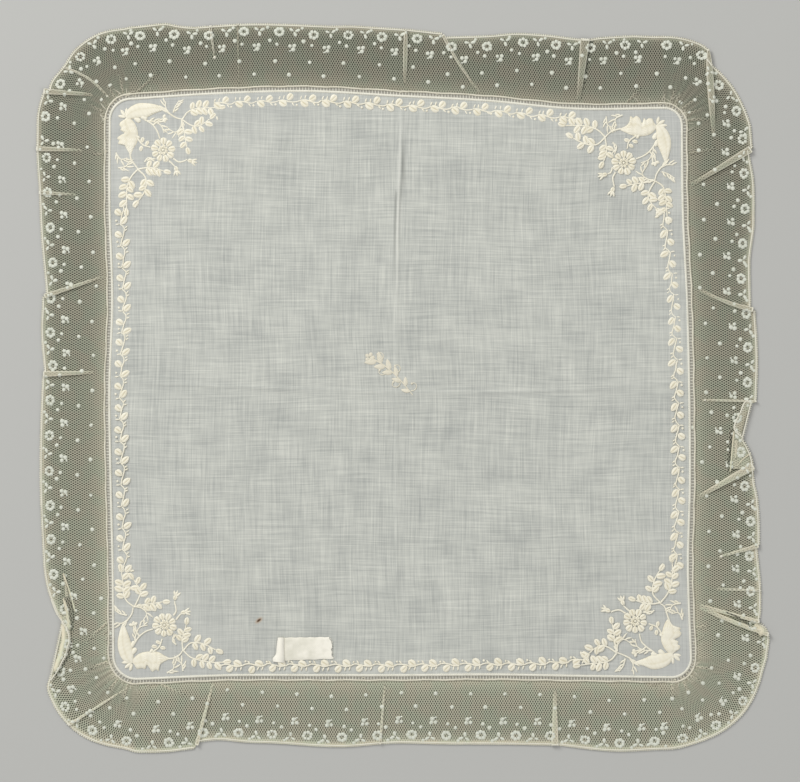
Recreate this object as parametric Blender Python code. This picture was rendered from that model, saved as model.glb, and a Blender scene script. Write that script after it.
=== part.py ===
"""A square handkerchief of sheer lawn with a gathered lace frill, lying flat, seen from above.

Each piece is one closed sheet: flat underneath, where it rests, with its hem, pleats and creases
raised on top. Tables and sizes are in millimetres, and MM turns them into metres.

A place on the handkerchief is a stretch (a side or a rounded corner, clockwise from the top side),
a share of that stretch from 0 to 1, and a reach, the distance outside the panel's hem.
"""

from collections import namedtuple
from math import cos, pi, sin

import bmesh
import bpy
import numpy as np
from mathutils import Vector
from mathutils.geometry import delaunay_2d_cdt

MM = 0.001

# Driving sizes
CLOTH = 1.0               # thickness of one layer of cloth
PIECE_GAP = 0.3           # between neighbouring pieces
HEM_WIDTH = 1.7           # rolled hem of the lawn, part of the panel
HEM_RISE = 0.5
INSERTION_EDGE = 2.8      # reach of the openwork insertion, where the lace is sewn on
FOLD_SLOPE = 0.6          # how far the side of a fold runs out
EDGE_OVERRUN = 3.0        # folds are drawn this far past the lace edge, which cuts them off
SIDE_STEP = 7.0           # spacing of points along a side
CORNER_STEPS = 12         # steps round a corner
STATION_CLEAR = 0.006     # share of a stretch that a station of the lace edge keeps to itself

# The panel's four sides, clockwise. Seven even stations give the distance from the middle of the
# handkerchief to the hem, which bows as in the photo; the radius is that of the corner that follows.
Side = namedtuple("Side", "name outward stations radius")
SIDES = (
    Side("top", (0, 1), (162.1, 165.2, 166.4, 163.8, 161.1, 156.6, 157.0), 10.1),
    Side("right", (1, 0), (156.4, 157.0, 159.3, 160.5, 160.9, 159.8, 161.5), 11.2),
    Side("bottom", (0, -1), (162.2, 161.5, 160.7, 161.1, 161.1, 161.2, 163.2), 13.4),
    Side("left", (-1, 0), (162.4, 162.8, 164.0, 164.6, 163.0, 164.5, 164.4), 12.3),
)
STRETCHES = ("top", "top right", "right", "bottom right",
             "bottom", "bottom left", "left", "top left")

# The lace's outer edge: one section between two pleats, and at each pleat the edge jumps.
# Columns of a station: stretch, share, reach.
LACE_SECTIONS = (
    (("top left", 0.22, 36.9), ("top left", 0.28, 37.4), ("top left", 0.42, 36.3),
     ("top left", 0.58, 38.4), ("top left", 0.80, 39.7), ("top left", 0.93, 39.4),
     ("top", 0.02, 40.3), ("top", 0.06, 40.8), ("top", 0.09, 38.8), ("top", 0.12, 37.6),
     ("top", 0.20, 38.1), ("top", 0.37, 36.6), ("top", 0.42, 37.4), ("top", 0.50, 37.4),
     ("top", 0.583, 36.2)),
    (("top", 0.587, 34.0), ("top", 0.67, 36.3), ("top", 0.73, 39.3), ("top", 0.78, 39.9),
     ("top", 0.856, 38.8), ("top", 0.88, 39.9), ("top", 0.94, 40.6), ("top", 0.985, 39.9),
     ("top right", 0.26, 40.0), ("top right", 0.34, 39.1)),
    (("top right", 0.36, 34.6), ("top right", 0.46, 33.0), ("top right", 0.77, 34.7),
     ("right", 0.02, 38.6), ("right", 0.043, 39.2)),
    (("right", 0.047, 37.0), ("right", 0.12, 40.0), ("right", 0.18, 39.6), ("right", 0.26, 36.0),
     ("right", 0.344, 35.2)),
    (("right", 0.348, 37.7), ("right", 0.43, 38.4), ("right", 0.519, 37.2)),
    (("right", 0.523, 34.7), ("right", 0.585, 28.8), ("right", 0.602, 31.6), ("right", 0.63, 34.7),
     ("right", 0.67, 35.8), ("right", 0.70, 37.8), ("right", 0.75, 39.3), ("right", 0.788, 39.7)),
    (("right", 0.792, 38.3), ("right", 0.87, 40.3), ("right", 0.91, 39.9), ("right", 0.935, 38.5)),
    (("right", 0.937, 39.6), ("right", 0.942, 42.1), ("right", 0.964, 43.9),
     ("right", 0.995, 42.4), ("bottom right", 0.11, 40.4), ("bottom right", 0.41, 39.8),
     ("bottom right", 0.80, 38.6), ("bottom", 0.014, 40.3), ("bottom", 0.10, 41.7),
     ("bottom", 0.215, 38.7)),
    (("bottom", 0.222, 38.9), ("bottom", 0.39, 38.8), ("bottom", 0.51, 37.8),
     ("bottom", 0.62, 39.9), ("bottom", 0.75, 37.8), ("bottom", 0.79, 37.5),
     ("bottom", 0.85, 35.8), ("bottom", 0.884, 36.5)),
    (("bottom", 0.893, 40.2), ("bottom", 0.95, 41.4), ("bottom left", 0.10, 39.3),
     ("bottom left", 0.46, 41.3), ("bottom left", 0.76, 40.3), ("bottom left", 0.87, 35.7),
     ("left", 0.02, 31.1), ("left", 0.066, 28.2)),
    (("left", 0.076, 31.2), ("left", 0.132, 36.9), ("left", 0.17, 38.4), ("left", 0.31, 39.3),
     ("left", 0.522, 37.3)),
    (("left", 0.53, 36.3), ("left", 0.62, 39.2), ("left", 0.67, 38.8)),
    (("left", 0.674, 36.6), ("left", 0.77, 38.3), ("left", 0.861, 39.0), ("left", 0.95, 40.6),
     ("top left", 0.21, 39.3)),
)

# Pressed folds of the lace, each a strip of doubled net that tapers from the edge inwards.
# Columns: stretch and share at the edge, stretch, share and reach at its inner end, width, rise.
Pleat = namedtuple("Pleat", "edge_stretch edge_share heel_stretch heel_share heel_reach width rise")
PLEATS = (
    Pleat("top left", 0.205, "top left", 0.384, 12.9, 2.8, 1.0),
    Pleat("top left", 0.423, "top left", 0.489, 4.5, 0.8, 0.5),
    Pleat("left", 0.947, "left", 0.944, 15.5, 2.2, 0.9),
    Pleat("left", 0.865, "left", 0.861, 18.5, 2.2, 0.8),
    Pleat("left", 0.672, "left", 0.708, 4.5, 2.2, 1.0),
    Pleat("left", 0.526, "left", 0.529, 8.6, 2.8, 1.0),
    Pleat("top", 0.148, "top", 0.157, 18.6, 1.7, 0.8),
    Pleat("top", 0.200, "top", 0.202, 4.5, 0.8, 0.5),
    Pleat("top", 0.515, "top", 0.513, 6.6, 1.4, 0.7),
    Pleat("top", 0.585, "top", 0.652, 4.5, 0.8, 0.9),
    Pleat("top", 0.851, "top", 0.839, 4.5, 4.5, 1.2),
    Pleat("top right", 0.335, "right", 0.016, 17.4, 3.9, 1.4),
    Pleat("right", 0.045, "right", 0.112, 4.5, 2.8, 1.1),
    Pleat("right", 0.346, "right", 0.308, 7.0, 2.8, 1.1),
    Pleat("right", 0.518, "right", 0.516, 6.3, 0.8, 0.9),
    Pleat("right", 0.640, "right", 0.698, 4.5, 4.5, 1.2),
    Pleat("right", 0.790, "right", 0.811, 16.9, 1.7, 0.8),
    Pleat("right", 0.874, "right", 0.871, 15.8, 0.8, 0.5),
    Pleat("right", 0.937, "right", 0.903, 5.7, 4.5, 1.6),
    Pleat("bottom", 0.218, "bottom", 0.218, 8.5, 3.4, 1.0),
    Pleat("bottom", 0.545, "bottom", 0.536, 4.9, 1.1, 0.6),
    Pleat("bottom", 0.888, "bottom", 0.858, 4.5, 1.7, 1.0),
    Pleat("bottom left", 0.494, "bottom left", 0.199, 6.0, 1.1, 0.7),
)
PLEAT_TAPER = 0.35        # a pleat's width at its inner end, as a share of its width at the edge
PLEAT_FADE = 0.6          # how far in it keeps its full rise

# Stretches where the lace edge is turned over on itself, drawn down the middle of the doubled part.
# Columns of a station: stretch, share, reach, width, rise.
TURNED_OVER = (
    (("right", 0.510, 37.0, 1.0, 0.9), ("right", 0.540, 31.0, 4.5, 1.0),
     ("right", 0.575, 27.2, 4.8, 1.1), ("right", 0.605, 27.2, 7.5, 1.0),
     ("right", 0.645, 28.0, 11.5, 0.9)),
    (("bottom left", 0.880, 36.5, 1.0, 0.6), ("left", 0.010, 28.4, 6.0, 1.1),
     ("left", 0.060, 25.6, 4.8, 1.2), ("left", 0.100, 22.6, 2.6, 0.8),
     ("left", 0.158, 27.2, 0.8, 0.4)),
)

# Fine gathers that fan out from the heading at each corner.
# Columns: corner, how many, reach where they end, width, rise.
Gather = namedtuple("Gather", "corner count end_reach width rise")
GATHERS = (
    Gather("top right", 7, 17.0, 1.4, 0.5),
    Gather("bottom right", 5, 14.0, 1.2, 0.4),
    Gather("bottom left", 6, 16.0, 1.2, 0.4),
    Gather("top left", 6, 15.0, 1.2, 0.4),
)

# Soft creases of the panel from having been folded in four. Columns: x, y, width, rise.
PANEL_CREASES = (
    ((-0.6, 154.0, 1.4, 0.5), (-1.7, 105.0, 1.4, 0.6), (-4.5, 44.0, 1.2, 0.5),
     (-4.0, -40.0, 1.0, 0.3), (-3.4, -152.0, 1.0, 0.3)),
    ((-152.0, 3.0, 1.2, 0.3), (-60.0, -0.5, 1.2, 0.4), (40.0, -2.5, 1.2, 0.4),
     (150.0, 1.0, 1.2, 0.3)),
)

# The cotton tape label, lower left, cut ends at its right and turned under at its left.
LABEL_OUTLINE = (
    (-69.6, -139.7), (-41.8, -139.4), (-40.3, -141.1), (-39.9, -146.0), (-39.3, -151.6),
    (-65.8, -152.6), (-66.4, -153.8), (-72.8, -153.0), (-73.1, -151.2), (-71.2, -149.0),
    (-70.5, -141.2),
)
LABEL_TURN = ((-68.4, -137.0, 4.0, 0.6), (-69.0, -156.0, 4.4, 0.6))

# Name, sRGB colour and roughness of each material
LOOKS = {
    "lawn_panel": ((0.85, 0.85, 0.82), 0.90),
    "insertion_band": ((0.86, 0.84, 0.77), 0.90),
    "lace_frill": ((0.74, 0.73, 0.65), 0.90),
    "tape_label": ((0.93, 0.91, 0.84), 0.85),
}


def place_number(stretch, share):
    """One number for a place: whole numbers are the starts of the stretches."""
    return STRETCHES.index(stretch) + share


def smooth_station(stations, share):
    """A smooth curve through evenly spaced stations."""
    last = len(stations) - 1
    index = min(int(share * last), last - 1)
    step = share * last - index
    here, after = stations[index], stations[index + 1]
    before = stations[index - 1] if index > 0 else 2 * here - after
    beyond = stations[index + 2] if index < last - 1 else 2 * after - here
    return here + 0.5 * step * (after - before + step * (
        2 * before - 5 * here + 4 * after - beyond
        + step * (3 * (here - after) + beyond - before)))


def corner_centre(index):
    """Centre of the arc between side `index` and the next one."""
    side = SIDES[index]
    following = SIDES[(index + 1) % 4]
    return (Vector(side.outward) * (side.stations[-1] - side.radius)
            + Vector(following.outward) * (following.stations[0] - side.radius))


def point_at(place, reach):
    """The point `reach` outside the hem at a place number."""
    place %= len(STRETCHES)
    index = int(place) // 2
    share = place - int(place)
    side = SIDES[index]
    outward = Vector(side.outward)
    if int(place) % 2:
        turn = share * pi / 2
        following = Vector(SIDES[(index + 1) % 4].outward)
        spoke = outward * cos(turn) + following * sin(turn)
        return corner_centre(index) + spoke * (side.radius + reach)
    clockwise = Vector((outward.y, -outward.x))
    start = corner_centre(index - 1).dot(clockwise)
    end = corner_centre(index).dot(clockwise)
    along = start + (end - start) * share
    return clockwise * along + outward * (smooth_station(side.stations, share) + reach)


def ring_places():
    """Place numbers all round, close enough for the bows and the corner arcs."""
    places = []
    for stretch in range(len(STRETCHES)):
        if stretch % 2:
            steps = CORNER_STEPS
        else:
            steps = round((point_at(stretch, 0) - point_at(stretch + 0.999, 0)).length / SIDE_STEP)
        places += [stretch + step / steps for step in range(steps)]
    return places


RING = ring_places()


def ring(reach):
    """A closed line at one reach all round."""
    return [point_at(place, reach) for place in RING]


def calm_slopes(places, reaches):
    """Slopes at the stations that keep the curve between two of them from swinging past either."""
    steps = np.diff(reaches) / np.diff(places)
    slopes = [steps[0]]
    for before, after in zip(steps, steps[1:]):
        slopes.append(2 * before * after / (before + after) if before * after > 0 else 0.0)
    return slopes + [steps[-1]]


def lace_edge():
    """The lace's outer edge: smooth along each section, with a jump from one to the next."""
    points = []
    for section in LACE_SECTIONS:
        places = np.array([place_number(stretch, share) for stretch, share, _ in section])
        places = np.where(places < places[0], places + len(STRETCHES), places)
        reaches = np.array([reach for _, _, reach in section])
        slopes = calm_slopes(places, reaches)
        between = [place + turns for turns in (0, len(STRETCHES)) for place in RING
                   if places[0] < place + turns < places[-1]
                   and min(abs(places - place - turns)) > STATION_CLEAR]
        for place in sorted([*between, *places]):
            index = min(np.searchsorted(places, place, side="right"), len(places) - 1) - 1
            width = places[index + 1] - places[index]
            t = (place - places[index]) / width
            reach = (reaches[index] * (1 + 2 * t) * (1 - t) ** 2
                     + slopes[index] * width * t * (1 - t) ** 2
                     + reaches[index + 1] * (3 - 2 * t) * t ** 2
                     + slopes[index + 1] * width * (t - 1) * t ** 2)
            points.append(point_at(place, float(reach)))
    return points


Station = namedtuple("Station", "point half rise")


def pleat_strip(pleat):
    """A pleat as a strip: past the edge, where its rise starts to fade, and its inner end."""
    edge = point_at(place_number(pleat.edge_stretch, pleat.edge_share), 40.0)
    heel = point_at(place_number(pleat.heel_stretch, pleat.heel_share), pleat.heel_reach)
    outer = edge + (edge - heel).normalized() * EDGE_OVERRUN
    half = pleat.width / 2
    middle_half = half * (1 + (PLEAT_TAPER - 1) * PLEAT_FADE)
    return [Station(outer, half, pleat.rise),
            Station(edge.lerp(heel, PLEAT_FADE), middle_half, pleat.rise),
            Station(heel, half * PLEAT_TAPER, 0.0)]


def turned_strip(rows):
    """A turned-over stretch of the lace edge as a strip."""
    return [Station(point_at(place_number(stretch, share), reach), width / 2, rise)
            for stretch, share, reach, width, rise in rows]


def gather_strips(gather):
    """The fan of small gathers at one corner, every second one shorter."""
    strips = []
    for number in range(gather.count):
        place = place_number(gather.corner, (number + 0.5) / gather.count)
        shorter = 0.72 if number % 2 else 1.0
        end = point_at(place, gather.end_reach * shorter)
        start = point_at(place, INSERTION_EDGE + 1.5)
        strips.append([Station(start, gather.width / 4, gather.rise),
                       Station(end, gather.width / 2, 0.0)])
    return strips


def crease_strip(rows):
    """A crease or turned edge given by x, y, width and rise."""
    return [Station(Vector((x, y)), width / 2, rise) for x, y, width, rise in rows]


def strip_side(strip, side, spread):
    """One long side of a strip, `spread` outside its crown."""
    line = []
    for index, station in enumerate(strip):
        ahead = strip[min(index + 1, len(strip) - 1)].point
        behind = strip[max(index - 1, 0)].point
        along = (ahead - behind).normalized()
        line.append(station.point + Vector((-along.y, along.x)) * side * (station.half + spread))
    return line


def strip_height(point, strip):
    """How much a strip lifts the cloth at a point: full on its crown, sloping off beside it."""
    height = 0.0
    for start, end in zip(strip, strip[1:]):
        line = end.point - start.point
        t = min(max((point - start.point).dot(line) / line.length_squared, 0.0), 1.0)
        away = (point - start.point - line * t).length
        half = start.half + (end.half - start.half) * t
        rise = start.rise + (end.rise - start.rise) * t
        share = min(max((half + FOLD_SLOPE - away) / FOLD_SLOPE, 0.0), 1.0)
        height = max(height, rise * share)
    return height


def distance_to_ring(point, line):
    """Distance from a point to a closed line."""
    nearest = float("inf")
    for start, end in zip(line, line[1:] + line[:1]):
        step = end - start
        t = min(max((point - start).dot(step) / step.length_squared, 0.0), 1.0)
        nearest = min(nearest, (point - start - step * t).length)
    return nearest


def inside(point, line):
    """Whether a point lies inside a closed line."""
    odd = False
    for start, end in zip(line, line[1:] + line[:1]):
        if (start.y > point.y) != (end.y > point.y):
            crossing = start.x + (point.y - start.y) * (end.x - start.x) / (end.y - start.y)
            odd ^= point.x < crossing
    return odd


def flat_triangles(outer, inner, strips, rings):
    """Triangles between two closed lines, with an edge along every fold and inner ring."""
    points = []
    edges = []
    closed = [line for line in (outer, inner, *rings) if line]
    for line in closed:
        first = len(points)
        points += line
        edges += [(first + i, first + (i + 1) % len(line)) for i in range(len(line))]
    for strip in strips:
        for side in (-1, 1):
            for spread in (0.0, FOLD_SLOPE):
                first = len(points)
                points += strip_side(strip, side, spread)
                edges += [(i, i + 1) for i in range(first, len(points) - 1)]
    made, _, faces, _, _, _ = delaunay_2d_cdt(points, edges, [], 0, 1e-4)
    kept = []
    for face in faces:
        middle = sum((made[i] for i in face), Vector((0.0, 0.0))) / len(face)
        if inside(middle, outer) and not (inner and inside(middle, inner)):
            kept.append(list(face))
    return made, kept


def add_sheet(name, outer, inner, base, height, strips=(), rings=()):
    """A closed sheet from z = base up to base + height(point)."""
    points, faces = flat_triangles(outer, inner, strips, rings)
    used = sorted({i for face in faces for i in face})
    mesh = bmesh.new()
    lower = {i: mesh.verts.new((*points[i], base)) for i in used}
    upper = {i: mesh.verts.new((*points[i], base + height(points[i]))) for i in used}
    once = {}
    for face in faces:
        a, b, c = (points[i] for i in face)
        if (b - a).cross(c - a) < 0:
            face.reverse()
        mesh.faces.new([upper[i] for i in face])
        mesh.faces.new([lower[i] for i in reversed(face)])
        for pair in zip(face, face[1:] + face[:1]):
            if pair[::-1] in once:
                del once[pair[::-1]]
            else:
                once[pair] = True
    for start, end in once:
        mesh.faces.new((lower[start], lower[end], upper[end], upper[start]))
    bmesh.ops.scale(mesh, vec=(MM, MM, MM), verts=mesh.verts)
    data = bpy.data.meshes.new(name)
    mesh.to_mesh(data)
    mesh.free()
    sheet = bpy.data.objects.new(name, data)
    bpy.context.scene.collection.objects.link(sheet)
    sheet.data.materials.append(cloth_material(name))
    return sheet


def cloth_material(name):
    """The material of one piece, its sRGB colour turned linear."""
    colour, roughness = LOOKS[name]
    material = bpy.data.materials.new(name)
    material.use_nodes = True
    shader = material.node_tree.nodes["Principled BSDF"]
    linear = [((value + 0.055) / 1.055) ** 2.4 for value in colour]
    shader.inputs["Base Color"].default_value = (*linear, 1.0)
    shader.inputs["Roughness"].default_value = roughness
    shader.inputs["Metallic"].default_value = 0.0
    return material


def build_panel():
    """The lawn square: rolled hem round its edge, soft creases across its middle."""
    hem = ring(0.0)
    creases = [crease_strip(rows) for rows in PANEL_CREASES]
    hem_slope = 0.5

    def height(point):
        """Thickness of the lawn at a point."""
        from_edge = distance_to_ring(point, hem)
        roll = HEM_RISE * min(max((HEM_WIDTH - from_edge) / hem_slope, 0.0), 1.0)
        return CLOTH + max([roll] + [strip_height(point, crease) for crease in creases])

    return add_sheet("lawn_panel", hem, None, 0.0, height, creases,
                     (ring(-HEM_WIDTH), ring(hem_slope - HEM_WIDTH)))


def build_insertion():
    """The narrow openwork band between the hem and the lace."""
    return add_sheet("insertion_band", ring(INSERTION_EDGE), ring(PIECE_GAP), 0.0,
                     lambda point: CLOTH)


def build_lace():
    """The lace frill: one strip all round with its pleats, turned-over stretches and gathers."""
    strips = [pleat_strip(pleat) for pleat in PLEATS]
    strips += [turned_strip(rows) for rows in TURNED_OVER]
    for gather in GATHERS:
        strips += gather_strips(gather)

    def height(point):
        """Thickness of the lace at a point, with the highest fold that crosses it."""
        return CLOTH + max(strip_height(point, strip) for strip in strips)

    return add_sheet("lace_frill", lace_edge(), ring(INSERTION_EDGE + PIECE_GAP), 0.0,
                     height, strips)


def build_label():
    """The blank tape label, lying on the lawn, its left end doubled."""
    outline = [Vector(point) for point in reversed(LABEL_OUTLINE)]
    turn = crease_strip(LABEL_TURN)
    return add_sheet("tape_label", outline, None, CLOTH + PIECE_GAP,
                     lambda point: CLOTH + strip_height(point, turn), (turn,))


def centre_on_origin(sheets):
    """Moves the meshes so that the whole handkerchief is centred above the origin."""
    corners = [vertex.co for sheet in sheets for vertex in sheet.data.vertices]
    middle = [(min(co[axis] for co in corners) + max(co[axis] for co in corners)) / 2
              for axis in (0, 1)]
    for sheet in sheets:
        for vertex in sheet.data.vertices:
            vertex.co.x -= middle[0]
            vertex.co.y -= middle[1]


for old in list(bpy.data.objects):
    bpy.data.objects.remove(old, do_unlink=True)

centre_on_origin([build_panel(), build_insertion(), build_lace(), build_label()])
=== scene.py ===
"""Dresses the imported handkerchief: sheer lawn, whitework embroidery and a gathered net lace frill.

Lengths in the classes are millimetres in the CAD's frame; a mesh is turned into metres when made.
A place is a number round the hem, clockwise: even whole numbers start the sides (top, right,
bottom, left), odd ones the corners after them. A reach is the distance outside the hem.
"""

import logging
from dataclasses import dataclass, field
from enum import Enum
from math import hypot, pi, radians, sin, tau
from typing import Any

import bpy
import numpy as np
from bpy.types import Material, Node, NodeSocket, NodeTree, Object
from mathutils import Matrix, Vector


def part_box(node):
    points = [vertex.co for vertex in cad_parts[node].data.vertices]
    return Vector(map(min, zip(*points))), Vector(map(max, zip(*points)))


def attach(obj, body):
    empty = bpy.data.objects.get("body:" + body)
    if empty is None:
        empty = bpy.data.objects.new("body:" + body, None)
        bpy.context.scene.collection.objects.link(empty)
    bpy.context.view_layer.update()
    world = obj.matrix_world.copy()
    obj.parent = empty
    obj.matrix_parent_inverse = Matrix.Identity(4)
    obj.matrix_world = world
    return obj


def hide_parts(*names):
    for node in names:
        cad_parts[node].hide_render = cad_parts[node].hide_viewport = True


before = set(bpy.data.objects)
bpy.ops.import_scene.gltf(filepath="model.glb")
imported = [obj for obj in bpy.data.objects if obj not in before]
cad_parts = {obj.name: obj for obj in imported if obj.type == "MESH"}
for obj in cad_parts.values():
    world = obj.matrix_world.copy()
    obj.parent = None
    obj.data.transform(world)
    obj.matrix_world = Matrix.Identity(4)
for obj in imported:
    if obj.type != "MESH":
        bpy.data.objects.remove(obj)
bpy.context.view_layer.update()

MM = 0.001
BODY = "root"
ROUND = 8  # place numbers once round the hem
log = logging.getLogger("handkerchief")

Array = np.ndarray
Row = tuple


def linear(hex_colour: str) -> tuple[float, float, float, float]:
    """Turns an sRGB hex colour into Blender's linear values.

    Args:
        hex_colour: six hex digits, with or without a leading mark.

    Returns:
        Linear red, green and blue, with alpha 1.
    """
    digits = hex_colour.lstrip("#")
    channels = [int(digits[i:i + 2], 16) / 255 for i in (0, 2, 4)]
    red, green, blue = (c / 12.92 if c <= 0.04045 else ((c + 0.055) / 1.055) ** 2.4
                        for c in channels)
    return red, green, blue, 1.0


def turned(vectors: Array, angle: float | Array) -> Array:
    """Turns 2-D vectors anticlockwise by an angle in radians."""
    c, s = np.cos(angle), np.sin(angle)
    return np.stack((vectors[..., 0] * c - vectors[..., 1] * s,
                     vectors[..., 0] * s + vectors[..., 1] * c), axis=-1)


def spline(four: Any, t: Array) -> Array:
    """The smooth curve through four even knots, at shares t of the way between the inner two."""
    before, here, after, beyond = four
    return here + 0.5 * t * (after - before + t * (
        2 * before - 5 * here + 4 * after - beyond + t * (3 * (here - after) + beyond - before)))


def smooth_line(knots: Any, steps: int) -> Array:
    """A smooth curve through knots of any dimension, with so many steps to a span."""
    given = np.asarray(knots, float)
    padded = np.pad(given, ((1, 1), (0, 0)), "reflect", reflect_type="odd")
    t = np.arange(steps)[:, None] / steps
    spans = [spline(four, t) for four in zip(padded, padded[1:], padded[2:], padded[3:])]
    return np.vstack((*spans, given[-1:]))


def run_of(line: Array) -> Array:
    """The distance run along a line from its first point to each."""
    steps = np.diff(line, axis=0)
    return np.concatenate(([0.0], np.cumsum(np.hypot(steps[:, 0], steps[:, 1]))))


def line_at(line: Array, run: Array, where: Any) -> Array:
    """The points of a line at distances along it."""
    return np.stack([np.interp(where, run, line[:, k]) for k in (0, 1)], axis=-1)


def even_line(line: Array, count: int) -> Array:
    """A line again as evenly spaced points."""
    run = run_of(line)
    return line_at(line, run, np.linspace(0, run[-1], count))


def paired(first: Array, second: Array) -> Array:
    """Two arrays as one of pairs, each stretched to the other's shape."""
    return np.stack(np.broadcast_arrays(first, second), axis=-1)


def ray(angle: Any) -> Array:
    """Unit vectors at angles in radians."""
    return np.stack((np.cos(angle), np.sin(angle)), axis=-1)


def left_of(line: Array) -> Array:
    """Unit vectors that point to the left of a line at each of its points."""
    along = np.gradient(line, axis=0)
    along /= np.linalg.norm(along, axis=1)[:, None]
    return np.stack((-along[:, 1], along[:, 0]), axis=-1)


def swept(line: Array, offset: Array) -> Array:
    """Points beside a line: a row for each of its points, by offsets to its left."""
    return line[:, None] + left_of(line)[:, None] * offset[..., None]


def ways_of(line: Array) -> Array:
    """The angles at which a line runs at each of its points."""
    ahead = np.gradient(line, axis=0)
    return np.arctan2(ahead[:, 1], ahead[:, 0])


def new_object(name: str, data: Any) -> Object:
    """Makes an object of a mesh, a light or a camera and links it to the scene."""
    made = bpy.data.objects.new(name, data)
    bpy.context.scene.collection.objects.link(made)
    return made


@dataclass(frozen=True)
class Side:
    """One side of the panel.

    Distances from the handkerchief's middle to the hem at even stations show how the side bows;
    the radius is that of the corner that follows it.
    """

    outward: tuple[int, int]
    stations: tuple[float, ...]
    radius: float

    def distance(self, share: Array) -> Array:
        """The smooth distance to the hem at shares of the side."""
        values = np.pad(self.stations, 1, "reflect", reflect_type="odd")
        spans = len(self.stations) - 1
        index = np.minimum((share * spans).astype(int), spans - 1)
        return spline((values[index + k] for k in range(4)), share * spans - index)


@dataclass
class HemPath:
    """The line of the rolled hem, from which every place is measured."""

    sides: tuple[Side, ...] = (
        Side((0, 1), (162.1, 165.2, 166.4, 163.8, 161.1, 156.6, 157.0), 10.1),
        Side((1, 0), (156.4, 157.0, 159.3, 160.5, 160.9, 159.8, 161.5), 11.2),
        Side((0, -1), (162.2, 161.5, 160.7, 161.1, 161.1, 161.2, 163.2), 13.4),
        Side((-1, 0), (162.4, 162.8, 164.0, 164.6, 163.0, 164.5, 164.4), 12.3),
    )
    shift: Array = field(default_factory=lambda: np.zeros(2))

    def fit_to(self, node: str) -> None:
        """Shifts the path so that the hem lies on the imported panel's."""
        low, high = (np.array(corner[:2]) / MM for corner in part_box(node))
        line = self.points(np.linspace(0, ROUND, 4000), 0.0)
        self.shift = (low + high) / 2 - (line.min(axis=0) + line.max(axis=0)) / 2

    def corner_centre(self, index: int) -> Array:
        """Centre of the arc between a side and the next one."""
        side, following = self.sides[index], self.sides[(index + 1) % 4]
        return (np.array(side.outward) * (side.stations[-1] - side.radius)
                + np.array(following.outward) * (following.stations[0] - side.radius))

    def points(self, places: Any, reaches: Any) -> Array:
        """The points at places and reaches.

        Args:
            places: place numbers, which wrap round.
            reaches: distances outside the hem, one or as many as the places.

        Returns:
            An array of x and y.
        """
        places = np.mod(np.atleast_1d(np.asarray(places, float)), ROUND)
        reaches = np.broadcast_to(np.asarray(reaches, float), places.shape)
        found = np.empty((places.size, 2))
        for index, side in enumerate(self.sides):
            outward = np.array(side.outward, float)
            clockwise = np.array((outward[1], -outward[0]))
            start = self.corner_centre(index - 1) @ clockwise
            end = self.corner_centre(index) @ clockwise
            on_side = (places >= 2 * index) & (places < 2 * index + 1)
            share = places[on_side] - 2 * index
            away = side.distance(share) + reaches[on_side]
            found[on_side] = (np.outer(start + (end - start) * share, clockwise)
                              + np.outer(away, outward))
            on_corner = (places >= 2 * index + 1) & (places < 2 * index + 2)
            turn = (places[on_corner] - 2 * index - 1) * pi / 2
            following = np.array(self.sides[(index + 1) % 4].outward, float)
            spoke = np.outer(np.cos(turn), outward) + np.outer(np.sin(turn), following)
            found[on_corner] = (self.corner_centre(index)
                                + spoke * (side.radius + reaches[on_corner])[:, None])
        return found + self.shift

    def outward(self, places: Any) -> Array:
        """Unit vectors that point outward at places."""
        return self.points(places, 1.0) - self.points(places, 0.0)

    def lengths(self, places: Array, reach: float) -> Array:
        """The distance run along one reach from the first place to each."""
        return run_of(self.points(places, reach))

    def grid(self, places: Array, reaches: Array) -> Array:
        """The points at places, by columns of reaches that are one each or as many as the places."""
        return np.stack([self.points(places, column) for column in reaches.T], axis=1)

    def clockwise(self, place: float) -> float:
        """The angle of the clockwise direction at a place."""
        outward = self.outward(place)[0]
        return float(np.arctan2(-outward[0], outward[1]))

    def even_places(self, reach: float, pitch: float) -> Array:
        """Places all round, about a pitch apart at one reach, the first half of that from 0."""
        fine = np.linspace(0, ROUND, 4000)
        run = self.lengths(fine, reach)
        count = max(1, round(run[-1] / pitch))
        return np.interp((np.arange(count) + 0.5) * run[-1] / count, run, fine)


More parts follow.
